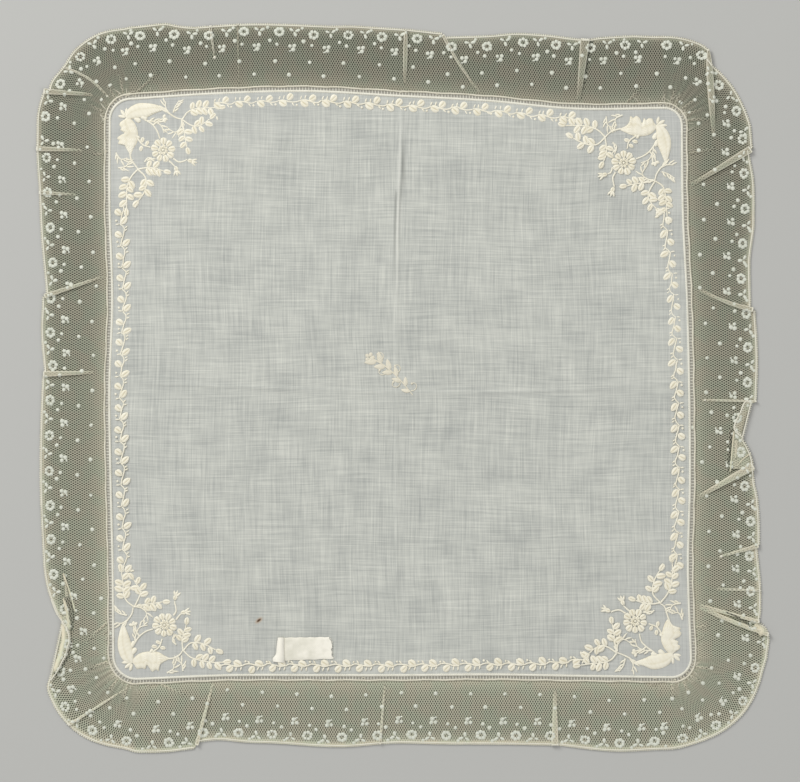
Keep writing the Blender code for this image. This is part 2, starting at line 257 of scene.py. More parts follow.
@dataclass
class Draft:
    """One joined mesh in the making, with a map of its threads in millimetres and a tone.

    On stitching the tone is painted shade: it runs from 0, the shaded slit between two rows of
    stitches, to 1, full thread. On net it runs from -1, a painted shadow beside a fold, past 0, plain
    net, to 1, net so doubled that it looks solid.
    """

    points: list[Array] = field(default_factory=list)
    faces: list[Array] = field(default_factory=list)
    marks: list[Array] = field(default_factory=list)
    tones: list[Array] = field(default_factory=list)
    count: int = 0

    def patch(self, flat: Array, height: Array, marks: Array, tone: Any = 1.0,
              closed: bool = False) -> None:
        """Adds a grid of points as a patch of four-sided faces.

        Args:
            flat: rows by columns by 2, x and y.
            height: rows by columns.
            marks: rows by columns by 2, along and across the thread.
            tone: one value, or rows by columns.
            closed: whether the last row joins the first.
        """
        rows, columns = height.shape
        index = np.arange(rows * columns).reshape(rows, columns) + self.count
        if closed:
            index = np.vstack((index, index[:1]))
        faces = np.stack((index[:-1, :-1], index[:-1, 1:], index[1:, 1:], index[1:, :-1]), axis=-1)
        self.points.append(np.column_stack((flat.reshape(-1, 2), height.reshape(-1))))
        self.marks.append(marks.reshape(-1, 2))
        self.tones.append(np.broadcast_to(tone, (rows, columns)).reshape(-1))
        self.faces.append(faces.reshape(-1, 4))
        self.count += rows * columns

    def make(self, name: str, material: Material, slot: str) -> Object:
        """Makes the mesh's object, which rides on the handkerchief.

        Args:
            name: the piece's name.
            material: its finish.
            slot: the record's material slot; not used.

        Returns:
            The new object.
        """
        mesh = bpy.data.meshes.new(name)
        points = np.vstack(self.points) * MM
        faces = np.vstack(self.faces)
        mesh.from_pydata(points.tolist(), [], faces.tolist())
        layer = mesh.uv_layers.new(name="thread_mm")
        layer.data.foreach_set("uv", np.vstack(self.marks)[faces.reshape(-1)].reshape(-1))
        tone = mesh.attributes.new("tone", "FLOAT", "POINT")
        tone.data.foreach_set("value", np.concatenate(self.tones))
        mesh.materials.append(material)
        mesh.shade_smooth()
        mesh.validate()
        piece = new_object(name, mesh)
        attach(piece, BODY)
        log.info("%s: %d faces", name, len(mesh.polygons))
        return piece


class Ground:
    """The height of the cloth under a stitch or a motif."""

    def __init__(self, level: float, strips: "list[FoldStrip] | None" = None) -> None:
        """Keeps the flat level and the folds that lift it."""
        self.level = level
        self.strips = strips or []

    def height(self, points: Array) -> Array:
        """The cloth's height at points."""
        lift = np.zeros(len(points))
        low, high = points.min(axis=0), points.max(axis=0)
        for strip in self.strips:
            if strip.meets(low, high):
                lift = np.maximum(lift, strip.lift(points))
        return self.level + lift


@dataclass
class FoldStrip:
    """A crease, pleat or gather: a strip of cloth that is raised and slopes off at its sides."""

    line: Array
    half: Array
    rise: Array
    slope: float = 0.6

    def __post_init__(self) -> None:
        """Works out the box that it lies in."""
        margin = self.half.max() + self.slope
        self.low, self.high = self.line.min(axis=0) - margin, self.line.max(axis=0) + margin

    def meets(self, low: Array, high: Array) -> bool:
        """Whether its box meets another box."""
        return bool(np.all(self.low <= high) and np.all(self.high >= low))

    def lift(self, points: Array) -> Array:
        """How much the strip lifts the cloth at points."""
        lift = np.zeros(len(points))
        for k in range(len(self.line) - 1):
            step = self.line[k + 1] - self.line[k]
            t = np.clip((points - self.line[k]) @ step / (step @ step), 0, 1)
            away = points - self.line[k] - t[:, None] * step
            half = self.half[k] + (self.half[k + 1] - self.half[k]) * t
            rise = self.rise[k] + (self.rise[k + 1] - self.rise[k]) * t
            share = (half + self.slope - np.hypot(away[:, 0], away[:, 1])) / self.slope
            lift = np.maximum(lift, rise * np.clip(share, 0, 1))
        return lift


class Thread(Enum):
    """How a stitched shape is worked."""

    SATIN = "flat satin stitches from edge to edge"
    SPLIT = "two rows of satin stitches that meet in a slit down the middle"


@dataclass
class Needlework:
    """Stitched shapes laid on the cloth and joined in one draft."""

    ground: Ground
    rng: np.random.Generator
    draft: Draft = field(default_factory=Draft)

    def _lay(self, flat: Array, heights: Array, marks: Array, tone: Any) -> None:
        """Lays a patch on the cloth, its own heights above it, its marks moved at random."""
        base = self.ground.height(flat.reshape(-1, 2)).reshape(heights.shape)
        self.draft.patch(flat, base + heights, marks + self.rng.uniform(0, 50, 2), tone)

    def leaf(self, start: Array, angle: float, length: float, width: float, *,
             rise: float = 0.5, bend: float = 0.0, blunt: float = 0.5,
             thread: Thread = Thread.SPLIT, rows: int = 7) -> Array:
        """Stitches a leaf or petal.

        Args:
            start: x and y of its base.
            angle: the way it points, in radians.
            length: from base to tip.
            width: at its widest.
            rise: height of the padding.
            bend: how far it curves, in radians from base to tip.
            blunt: from 0.2, round at the tip, to 1.2, drawn out to a point.
            thread: how it is worked.
            rows: steps along it.

        Returns:
            Its tip.
        """
        s = np.linspace(0, 1, rows + 1)
        if thread is Thread.SPLIT:
            across = np.array((-1.0, -0.8, -0.45, -0.18, 0.0, 0.18, 0.45, 0.8, 1.0))
            slit = np.exp(-(across / 0.19) ** 2)
        else:
            across = np.array((-1.0, -0.6, 0.0, 0.6, 1.0))
            slit = np.zeros(len(across))
        theta = angle + bend * (s - 0.2)
        step = ray(theta) * length / rows
        spine = np.asarray(start) + np.vstack((np.zeros(2), np.cumsum(step[:-1], axis=0)))
        side = np.stack((-np.sin(theta), np.cos(theta)), axis=-1)
        outline = s ** 0.55 * (1 - s) ** blunt
        half = width / 2 * outline / outline.max()
        flat = spine[:, None] + side[:, None] * (half[:, None] * across)[..., None]
        dome = np.sqrt(np.clip(1 - across ** 2, 0, 1)) * (1 - 0.55 * slit)
        swell = np.sin(pi * np.clip(s, 0.02, 0.98)) ** 0.4
        heights = rise * np.outer(swell, dome)
        heights[0] = heights[-1] = 0.0
        marks = paired((s * length)[:, None], half[:, None] * across)
        # Painted shade: darker at the edges, where the padding turns away, and in the slit between
        # the two rows.
        tone = 1 - 0.25 * np.abs(across) ** 4 - 0.85 * np.outer(np.sin(pi * s) ** 0.5, slit)
        self._lay(flat, heights, marks, tone)
        return spine[-1]

    def stem(self, line: Array, width: float, rise: float = 0.4, taper: float = 1.0) -> None:
        """Stitches a line.

        Args:
            line: its points.
            width: its width at the start.
            rise: its height.
            taper: its width at the end as a share of that at the start.
        """
        line = np.asarray(line, float)
        across = np.array((-1.0, -0.6, 0.0, 0.6, 1.0))
        widths = width * np.linspace(1, taper, len(line))
        offset = widths[:, None] / 2 * across
        dome = np.sqrt(np.clip(1 - across ** 2, 0, 1))
        # The tone paints shade along both edges.
        self._lay(swept(line, offset), rise * np.outer(widths / width, dome),
                  paired(run_of(line)[:, None], offset), 1 - 0.25 * np.abs(across) ** 4)

    def dot(self, centre: Array, radius: float, rise: float = 0.45, sides: int = 8) -> None:
        """Stitches a round dot."""
        rings = np.array((0.0, 0.55, 0.9, 1.0))
        turn = np.linspace(0, tau, sides + 1)
        flat = np.asarray(centre) + radius * rings[None, :, None] * ray(turn)[:, None]
        heights = np.broadcast_to(rise * np.sqrt(np.clip(1 - rings ** 2, 0, 1)),
                                  (sides + 1, len(rings)))
        # The tone paints shade towards the rim.
        self._lay(flat, heights, flat - np.asarray(centre), 1 - 0.2 * rings)

    def sprig(self, knots: Any, leaves: int, length: float, width: float) -> None:
        """Stitches a stem with leaves in pairs and one at its tip.

        Args:
            knots: points of the stem.
            leaves: how many leaves, the one at the tip among them.
            length: of a leaf.
            width: of a leaf.
        """
        line = smooth_line(knots, 6)
        self.stem(line, 0.95, 0.34, 0.7)
        way = ways_of(line)
        spread = 1.0  # angle between a leaf and the stem, in radians
        for number in range(leaves - 1):
            pair, side = number // 2, 1 if number % 2 else -1
            step = 0.3 + 0.66 * (pair + 0.15 + 0.25 * (number % 2)) / (leaves // 2)
            index = round(step * (len(line) - 1))
            size = self.rng.uniform(0.9, 1.1)
            self.leaf(line[index], way[index] + side * (spread + self.rng.normal(0, 0.1)),
                      length * size, width * size, blunt=0.6)
        self.leaf(line[-1], way[-1] + self.rng.normal(0, 0.1), length * 0.95, width * 0.9, blunt=0.5)

    def shape(self, first: Any, second: Any, rise: float) -> None:
        """Stitches a large shape between two edges, with rows of satin stitches across it.

        Args:
            first: knots of one edge, base to tip.
            second: knots of the other edge, base to tip.
            rise: height of the padding.
        """
        rows, rib = 52, 2.4
        edges = [even_line(smooth_line(knots, 8), rows + 1) for knots in (first, second)]
        share = np.linspace(0, 1, 11)
        flat = edges[0][:, None] + (edges[1] - edges[0])[:, None] * share[:, None]
        width = np.hypot(*(edges[1] - edges[0]).T)
        off = np.abs(2 * share - 1)
        full = np.clip(width / width.max() * 1.5, 0, 1)
        heights = rise * np.outer(full, np.sqrt(np.clip(1 - off ** 4, 0, 1)))
        run = run_of((edges[0] + edges[1]) / 2)
        marks = paired(run[:, None], width[:, None] * share)
        # Painted shade at the edges, between the rows of stitches and in the slit down the middle.
        ribs = 0.5 + 0.5 * np.sin(run * tau / rib)[:, None] * np.sign(share - 0.5)
        slit = np.exp(-((share - 0.42) / 0.07) ** 2)
        self._lay(flat, heights, marks, 1 - 0.3 * off ** 6 - 0.13 * ribs - 0.3 * slit)


def feed(tree: NodeTree, socket: NodeSocket, value: Any) -> None:
    """Sets a socket's value, or links it to a node's first output or to the one a pair names."""
    if isinstance(value, Node):
        tree.links.new(next(output for output in value.outputs if output.enabled), socket)
    elif isinstance(value, tuple) and isinstance(value[0], Node):
        tree.links.new(value[0].outputs[value[1]], socket)
    else:
        socket.default_value = value


def add_node(tree: NodeTree, kind: str, *values: Any, **named: Any) -> Node:
    """Adds a shader node with its settings, plain values and links.

    Args:
        tree: the material's node tree.
        kind: the node's type name without its prefix.
        values: of the inputs that its settings leave in use, in order.
        named: settings of the node in lower case; inputs begin with a capital.

    Returns:
        The new node.
    """
    node = tree.nodes.new("ShaderNode" + kind)
    for name, value in named.items():
        if name.islower():
            setattr(node, name, value)
    for socket, value in zip([socket for socket in node.inputs if socket.enabled], values):
        feed(tree, socket, value)
    for name, value in named.items():
        if not name.islower():
            feed(tree, node.inputs[name], value)
    return node


def add_ramp(tree: NodeTree, factor: Any, *stops: tuple[float, str]) -> Node:
    """Adds a colour ramp with hex stops through the one node maker."""
    ramp = add_node(tree, "ValToRGB", factor)
    elements = ramp.color_ramp.elements
    for number, (position, colour) in enumerate(stops):
        element = elements[number] if number < 2 else elements.new(position)
        element.position = position
        element.color = linear(colour)
    return ramp


@dataclass(frozen=True)
class Finish:
    """A cotton finish: what every material of the handkerchief starts from and ends with."""

    name: str
    colour: str
    roughness: float = 0.85
    ior: float = 1.53  # cotton fibre
    sheen: float = 0.15
    relief: float = 0.4  # how strongly the bump shows
    relief_depth: float = 0.2

    def start(self) -> tuple[Material, NodeTree, Node]:
        """Makes the material with its even values on the shader's own sockets.

        Returns:
            The material, its node tree and its Principled shader.
        """
        material = bpy.data.materials.new(self.name)
        material.use_nodes = True
        tree = material.node_tree
        shader = tree.nodes["Principled BSDF"]
        for name, value in (("Base Color", linear(self.colour)), ("Roughness", self.roughness),
                            ("IOR", self.ior), ("Specular IOR Level", 0.25),
                            ("Sheen Weight", self.sheen), ("Sheen Roughness", 0.5)):
            shader.inputs[name].default_value = value
        return material, tree, shader

    def end(self, tree: NodeTree, shader: Node, height: Any,
            colour: Any = None, alpha: Any = None) -> None:
        """Links a bump and, where they vary, the colour and how closed the cloth is."""
        bump = add_node(tree, "Bump", Height=height, Strength=self.relief,
                        Distance=self.relief_depth * MM)
        for name, value in (("Base Color", colour), ("Alpha", alpha), ("Normal", bump)):
            if value is not None:
                feed(tree, shader.inputs[name], value)


@dataclass(frozen=True)
class SheerLawn(Finish):
    """Sheer cotton lawn, plain woven from uneven slubby threads and gone slightly grey.

    The eye sees faint light and dark streaks both ways, since the threads (0.25 mm apart) are too
    fine to show; the streaks are the slubs and the thin places between them.
    """

    relief: float = 0.35
    relief_depth: float = 0.15
    thin_colour: str = "#B5B8B3"
    thick_colour: str = "#DEDFD5"
    edge_colour: str = "#C9CAC6"
    # Painted highlight on the top of a crease, and painted shade beside it.
    crease_highlight_colour: str = "#ECECE2"
    shade_colour: str = "#8F918B"
    stain_at: tuple[float, float] = (-80.7, -130.1)
    stain_turn: float = radians(38)
    stains: tuple[tuple[float, float, str, float], ...] = (
        # length, width, colour, strength: the tan ring, then the brown speck in it
        (2.9, 1.5, "#C4955C", 0.45),
        (1.7, 0.75, "#4E3218", 0.95),
    )
    streaks: tuple[tuple[float, float, float], ...] = (
        # across mm, along mm, share of the whole
        (1.15, 44.0, 0.30),
        (0.75, 27.0, 0.36),
        (0.5, 12.0, 0.30),
    )

    def _streak(self, tree: NodeTree, source: Node, vertical: bool, seed: float) -> Node:
        """Adds the streaks of one set of threads, between about -0.5 and 0.5."""
        total = None
        for number, (across, along, share) in enumerate(self.streaks):
            wide, long = 1 / (across * MM), 1 / (along * MM)
            scale = (wide, long, 1.0) if vertical else (long, wide, 1.0)
            mapping = add_node(tree, "Mapping", source, Scale=scale,
                               Location=(seed + number, seed, 0.0))
            noise = add_node(tree, "TexNoise", mapping, noise_dimensions="2D", Scale=1.0, Detail=1.0)
            part = add_node(tree, "Math", noise, share, -share / 2, operation="MULTIPLY_ADD")
            total = part if total is None else add_node(tree, "Math", total, part, operation="ADD")
        return total

    def build(self, middle: Array) -> Material:
        """Makes the lawn's material.

        Args:
            middle: x and y of the panel's middle in millimetres.

        Returns:
            The material.
        """
        material, tree, shader = self.start()
        place = (add_node(tree, "TexCoord"), "Object")
        # The threads bow by a millimetre or two over the length of a hand.
        sway = add_node(tree, "TexNoise", place, noise_dimensions="2D", Scale=9.0, Detail=1.0)
        bowed = add_node(tree, "VectorMath", (sway, "Color"), (0.006, 0.006, 0.0), place,
                         operation="MULTIPLY_ADD")
        both = add_node(tree, "Math", self._streak(tree, bowed, True, 3.0),
                        self._streak(tree, bowed, False, 11.0), operation="ADD")
        patches = add_node(tree, "TexNoise", place, noise_dimensions="2D", Scale=55.0, Detail=2.0)
        level = add_node(tree, "MapRange", patches, 0.0, 1.0, 0.2, 0.8)
        dense = add_node(tree, "Math", both, 1.35, level, operation="MULTIPLY_ADD", use_clamp=True)
        woven = add_ramp(tree, dense, (0.0, self.thin_colour), (1.0, self.thick_colour),
                         (0.5, self.colour))
        # Cooler towards the hem than in the middle.
        centred = add_node(tree, "VectorMath", place, (middle[0] * MM, middle[1] * MM, 0.0),
                           operation="SUBTRACT")
        reach = add_node(tree, "VectorMath", centred, operation="LENGTH")
        near_hem = add_node(tree, "MapRange", reach, 0.15, 0.22, 0.0, 0.7)
        # Painted highlight on the top of a crease, and painted shade on the cloth beside it.
        tone = (add_node(tree, "Attribute", attribute_name="tone"), "Fac")
        beside = add_node(tree, "MapRange", tone, 0.0, -1.0, 0.0, 0.75)
        layers = [(near_hem, self.edge_colour), (tone, self.crease_highlight_colour),
                  (beside, self.shade_colour)]
        layers += [(self._stain_mask(tree, place, middle, size, strength), tint)
                   for *size, tint, strength in self.stains]
        colour = woven
        for mask, tint in layers:
            colour = add_node(tree, "Mix", mask, colour, linear(tint), data_type="RGBA")
        # Thin places let a little more of the table through than slubs do.
        sheer = add_node(tree, "MapRange", dense, 0.1, 0.9, 0.82, 0.94)
        self.end(tree, shader, both, colour, sheer)
        return material

    def _stain_mask(self, tree: NodeTree, place: Any, middle: Array,
                    size: list[float], strength: float) -> Node:
        """Adds the mask of the small slanted brown speck, or of the tan ring round it."""
        moved = add_node(tree, "Mapping", place, vector_type="TEXTURE",
                         Location=((self.stain_at[0] + middle[0]) * MM,
                                   (self.stain_at[1] + middle[1]) * MM, 0.0),
                         Rotation=(0.0, 0.0, self.stain_turn),
                         Scale=(size[0] * MM, size[1] * MM, 1.0))
        away = add_node(tree, "VectorMath", moved, operation="LENGTH")
        return add_node(tree, "MapRange", away, 0.35, 1.2, strength, 0.0,
                        interpolation_type="SMOOTHSTEP")


@dataclass(frozen=True)
class NetGround(Finish):
    """Fine machine-made cotton net: two crossing sets of twisted threads round diamond holes.

    The real holes are 1.15 mm apart, two pixels of the render, and are drawn 1.4 mm apart so that
    they show. A hole is partly closed by a painted dark shade, which stands in for the shadow that
    the fine net casts on what lies under it.
    """

    pitch: float = 1.4
    hole_shade_colour: str = "#292A22"
    dense_colour: str = "#E4E1CC"
    green_tint: str = "#EDF0E8"
    pink_tint: str = "#F5EFE8"
    closed: float = 0.93
    half_side: float = 190 * MM
    light_below: float = 1.25
    light_above: float = 0.78

    def build(self) -> Material:
        """Makes the net's material, half open where the holes are and paler along the bottom."""
        material, tree, shader = self.start()
        thread = add_node(tree, "UVMap", uv_map="thread_mm")
        split = add_node(tree, "SeparateXYZ", thread)
        waves = []
        for lean in (1, -1):
            slanted = add_node(tree, "Math", (split, "Y"), lean / 3 ** 0.5, (split, "X"),
                               operation="MULTIPLY_ADD")
            phase = add_node(tree, "Math", slanted, tau / self.pitch, operation="MULTIPLY")
            waves.append(add_node(tree, "Math", phase, operation="COSINE"))
        crest = add_node(tree, "Math", *waves, operation="MAXIMUM")
        lattice = add_node(tree, "MapRange", crest, -0.05, 1.0, 0.0, 1.0)
        tone = (add_node(tree, "Attribute", attribute_name="tone"), "Fac")
        # Painted shadow: a tone below 0 darkens the net beside a fold.
        shade = add_node(tree, "MapRange", tone, -1.0, 0.0, 0.4, 1.0)
        doubled = add_node(tree, "Math", tone, 0.0, operation="MAXIMUM")
        dimmed = add_node(tree, "Math", lattice, shade, operation="MULTIPLY")
        lit = add_node(tree, "Math", doubled, 0.75, dimmed, operation="MULTIPLY_ADD", use_clamp=True)
        # Painted shade: the holes take a dark colour that stands in for the net's shadow on the
        # board.
        plain = add_ramp(tree, lit, (0.0, self.hole_shade_colour), (1.0, self.colour))
        creamy = add_node(tree, "Mix", doubled, plain, linear(self.dense_colour), data_type="RGBA")
        patchy = add_node(tree, "TexNoise", thread, noise_dimensions="2D", Scale=0.09, Detail=4.0)
        tint = add_ramp(tree, patchy, (0.38, self.green_tint), (0.62, self.pink_tint))
        toned = add_node(tree, "Mix", 1.0, creamy, tint, data_type="RGBA", blend_type="MULTIPLY")
        upright = add_node(tree, "SeparateXYZ", (add_node(tree, "TexCoord"), "Object"))
        paler = add_node(tree, "MapRange", (upright, "Y"), -self.half_side, self.half_side,
                         self.light_below, self.light_above)
        uneven = add_node(tree, "VectorMath", toned, paler, operation="SCALE")
        # The painted shade in the holes is nearly opaque, so little of the board shows through.
        solid = add_node(tree, "MapRange", lit, 0.0, 0.6, self.closed, 1.0)
        self.end(tree, shader, lattice, uneven, solid)
        return material


@dataclass(frozen=True)
class OpenBeading(Finish):
    """Openwork beading: thin bars between two rails, so a row of small holes shows, painted a dark
    shade.

    The real holes are 1.2 to 2 mm apart.
    """

    pitch: float = 1.7
    hole_shade_colour: str = "#A29F94"
    closed: float = 0.9

    def build(self, width: float) -> Material:
        """Makes the beading's material.

        Args:
            width: of the band, whose map runs across from 0.

        Returns:
            The material.
        """
        material, tree, shader = self.start()
        thread = add_node(tree, "UVMap", uv_map="thread_mm")
        split = add_node(tree, "SeparateXYZ", thread)
        phase = add_node(tree, "Math", (split, "X"), tau / self.pitch, operation="MULTIPLY")
        bars = add_node(tree, "Math", phase, operation="COSINE")
        away = add_node(tree, "Math", (split, "Y"), width / 2, operation="SUBTRACT")
        rails = add_node(tree, "Math", away, operation="ABSOLUTE")
        edge = add_node(tree, "MapRange", rails, width * 0.28, width * 0.5, -0.3, 0.6)
        solid = add_node(tree, "Math", bars, edge, operation="MAXIMUM", use_clamp=True)
        grain = add_node(tree, "TexNoise", thread, Scale=0.9, Detail=3.0)
        uneven = add_node(tree, "Math", solid, grain, operation="MULTIPLY")
        # Painted shade: the holes take a darker colour and are nearly closed, so little of the board
        # shows.
        toned = add_ramp(tree, uneven, (0.05, self.hole_shade_colour), (0.6, self.colour))
        shown = add_node(tree, "MapRange", solid, 0.0, 0.5, self.closed, 1.0)
        self.end(tree, shader, solid, toned, shown)
        return material


@dataclass(frozen=True)
class StitchedThread(Finish):
    """Cotton thread laid in close stitches, so the light runs in fine ridges across the shape.

    Real stitches lie 0.2 mm apart; they are drawn at 0.8 mm so that they still show.
    """

    relief: float = 0.45
    relief_depth: float = 0.12
    shade_colour: str = "#DDD3B2"
    slit_shade_colour: str = "#C2B692"
    ridge: float = 0.8

    def build(self) -> Material:
        """Makes the thread's material, with painted shade between stitches, towards the edges of
        shapes and in slits, and darker in uneven patches.
        """
        material, tree, shader = self.start()
        split = add_node(tree, "SeparateXYZ", add_node(tree, "UVMap", uv_map="thread_mm"))
        leaning = add_node(tree, "Math", (split, "Y"), 0.6, (split, "X"), operation="MULTIPLY_ADD")
        phase = add_node(tree, "Math", leaning, tau / self.ridge, operation="MULTIPLY")
        wave = add_node(tree, "Math", phase, operation="SINE")
        patchy = add_node(tree, "TexNoise", (add_node(tree, "TexCoord"), "Object"), Scale=160.0,
                          Detail=3.0)
        # The stitch ridges go into the colour too, as painted shade between stitches.
        uneven = add_node(tree, "Math", wave, 0.10, patchy, operation="MULTIPLY_ADD")
        laid = add_node(tree, "Math", uneven, 0.8, 0.42, operation="MULTIPLY_ADD")
        tone = (add_node(tree, "Attribute", attribute_name="tone"), "Fac")
        lit = add_node(tree, "Math", laid, tone, operation="MULTIPLY", use_clamp=True)
        # Painted shade: the ramp darkens the thread between stitches, towards the edges of shapes and
        # in slits.
        toned = add_ramp(tree, lit, (0.15, self.slit_shade_colour), (0.80, self.colour),
                         (0.52, self.shade_colour))
        self.end(tree, shader, wave, toned)
        return material


@dataclass(frozen=True)
class WovenTape(Finish):
    """Narrow woven cotton tape: close fine ribs along it, a little soiled."""

    relief: float = 0.3
    relief_depth: float = 0.1
    rib: float = 1.1  # real ribs are 0.4 mm apart, drawn coarser so that they show
    soil_colour: str = "#E2DFCF"

    def build(self) -> Material:
        """Makes the tape's material."""
        material, tree, shader = self.start()
        thread = add_node(tree, "UVMap", uv_map="thread_mm")
        split = add_node(tree, "SeparateXYZ", thread)
        ribs = []
        for axis in ("X", "Y"):
            phase = add_node(tree, "Math", (split, axis), tau / self.rib, operation="MULTIPLY")
            ribs.append(add_node(tree, "Math", phase, operation="SINE"))
        weave = add_node(tree, "Math", *ribs, operation="MULTIPLY")
        soil = add_node(tree, "TexNoise", thread, Scale=0.16, Detail=4.0)
        tone = (add_node(tree, "Attribute", attribute_name="tone"), "Fac")
        clean = add_node(tree, "Math", soil, tone, operation="MULTIPLY")
        toned = add_ramp(tree, clean, (0.18, self.soil_colour), (0.42, self.colour))
        self.end(tree, shader, weave, toned)
        return material


@dataclass(frozen=True)
class PaintedBoard(Finish):
    """A matt pale grey board, the surface that the handkerchief lies on."""

    relief: float = 0.05
    relief_depth: float = 0.1

    def build(self) -> Material:
        """Makes the board's material with a faint unevenness."""
        material, tree, shader = self.start()
        grain = add_node(tree, "TexNoise", (add_node(tree, "TexCoord"), "Object"), Scale=700.0)
        self.end(tree, shader, grain)
        return material


@dataclass
class LawnPanel:
    """The sheer square with its soft creases, and the rolled hem that is part of its cloth."""

    hem: HemPath
    level: float = 0.85
    side: float = 325.0
    cell: float = 2.4
    hem_half: float = 0.7  # half the width of the roll
    hem_height: float = 0.55
    stitch: float = 1.25  # whipping stitches over the roll
    creases: tuple[Row, ...] = (
        # x, y, width, rise
        ((-0.9, 154.0, 0.9, 0.4), (-1.3, 135.0, 0.9, 0.5), (-2.4, 110.0, 0.9, 0.6),
         (-3.1, 84.0, 0.9, 0.5), (-3.5, 40.0, 0.8, 0.2), (-3.4, -152.0, 0.8, 0.2)),
        ((-152.0, 3.0, 0.9, 0.2), (-60.0, -0.5, 0.9, 0.3), (40.0, -2.5, 0.9, 0.3),
         (150.0, 1.0, 0.9, 0.2)),
    )
    painted_crease_light: tuple[Row, ...] = (
        # y from the bottom up, x, how bright the painted highlight is, how dark the painted shade
        # right of it and left of it
        (38.0, -3.4, 0.0, 0.0, 0.0),
        (60.0, -3.3, 0.7, 0.0, 0.2),
        (84.0, -3.1, 0.9, 0.0, 0.9),
        (104.0, -2.6, 1.0, 0.0, 1.0),
        (108.5, -2.4, 1.0, 0.6, 1.0),
        (111.5, -2.3, 1.0, 1.0, 0.0),
        (146.0, -0.9, 0.9, 1.0, 0.0),
        (153.0, -0.9, 0.0, 0.0, 0.0),
    )

    def __post_init__(self) -> None:
        """Works out the creases as raised strips."""
        strips = []
        for rows in self.creases:
            table = smooth_line(rows, 6)
            strips.append(FoldStrip(table[:, :2] + self.hem.shift, table[:, 2] / 2, table[:, 3],
                                    0.9))
        self.ground = Ground(self.level, strips)

    def swell(self, points: Array) -> Array:
        """The slow unevenness of cloth that was ironed and has relaxed."""
        x, y = points[:, 0], points[:, 1]
        return 0.14 * (np.sin(x / 23 + 1.3 * np.sin(y / 41)) + np.sin(y / 19 + 0.8 * np.sin(x / 37)))

    def crease_light(self, flat: Array) -> Array:
        """The painted highlight of the upper crease at points, and below 0 the painted shade of the
        cloth beside it.
        """
        table = np.array(self.painted_crease_light)
        x, y = (flat - self.hem.shift).T
        middle, light, right, left = (np.interp(y, table[:, 0], table[:, k]) for k in (1, 2, 3, 4))
        tone = np.zeros(len(x))
        for aside, strength in ((0.0, 0.8 * light), (1.35, -right), (-1.5, -left)):
            tone += strength * np.exp(-((x - middle - aside) / 0.55) ** 2)
        return tone

    def build(self, finish: SheerLawn, thread: StitchedThread) -> list[Object]:
        """Makes the cloth and its hem.

        Args:
            finish: the lawn.
            thread: the hem's whipping.

        Returns:
            The cloth first, then the hem.
        """
        shares = np.linspace(0, 1, round(self.side / self.cell) + 1)
        # Lines lie closer together where a crease runs.
        across = np.unique(np.concatenate((shares, np.arange(0.480, 0.508, 0.0014))))
        down = np.unique(np.concatenate((shares, np.arange(0.495, 0.511, 0.0022))))
        grid = self._fill(across, down)
        flat = grid.reshape(-1, 2)
        height = self.ground.height(flat) + self.swell(flat)
        draft = Draft()
        draft.patch(grid, height.reshape(grid.shape[:2]), grid,
                    self.crease_light(flat).reshape(grid.shape[:2]))
        material = finish.build(self.hem.shift)
        cloth = draft.make("lawn_cloth", material, "lawn")
        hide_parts("lawn_panel")
        roll = self._rolled_hem(thread)
        return [cloth, roll]

    def _fill(self, across: Array, down: Array) -> Array:
        """A grid between the four bowed sides, whose corners are the middles of the arcs."""
        def edge(start: float, shares: Array) -> Array:
            """Points from the middle of one corner arc to the next."""
            fine = np.linspace(start, start + 2, 600)
            run = self.hem.lengths(fine, 0.0)
            return self.hem.points(np.interp(shares * run[-1], run, fine), 0.0)

        top = edge(ROUND - 0.5, across)
        right = edge(1.5, down)
        bottom = edge(3.5, 1 - across[::-1])[::-1]
        left = edge(5.5, 1 - down[::-1])[::-1]
        u, v = across[None, :, None], down[:, None, None]
        corners = (1 - v) * ((1 - u) * top[0] + u * top[-1]) + v * (
            (1 - u) * bottom[0] + u * bottom[-1])
        return ((1 - v) * top[None] + v * bottom[None] + (1 - u) * left[:, None]
                + u * right[:, None] - corners)

    def _rolled_hem(self, thread: StitchedThread) -> Object:
        """The hem: a thin roll, pinched by each whipping stitch."""
        pitch = self.stitch / 3
        places = self.hem.even_places(0.0, pitch)
        sides = 7
        turn = np.linspace(0, tau, sides + 1)
        pinch = (1 - 0.16 * (np.arange(len(places)) % 3 == 0))[:, None]
        reach = -0.3 + self.hem_half * pinch * np.cos(turn)
        height = 0.8 + self.hem_height * pinch * np.sin(turn)
        draft = Draft()
        run = np.arange(len(places)) * pitch
        draft.patch(self.hem.grid(places, reach), height,
                    paired(run[:, None], turn * self.hem_half), closed=True)
        return draft.make("rolled_hem", thread.build(), "lawn")


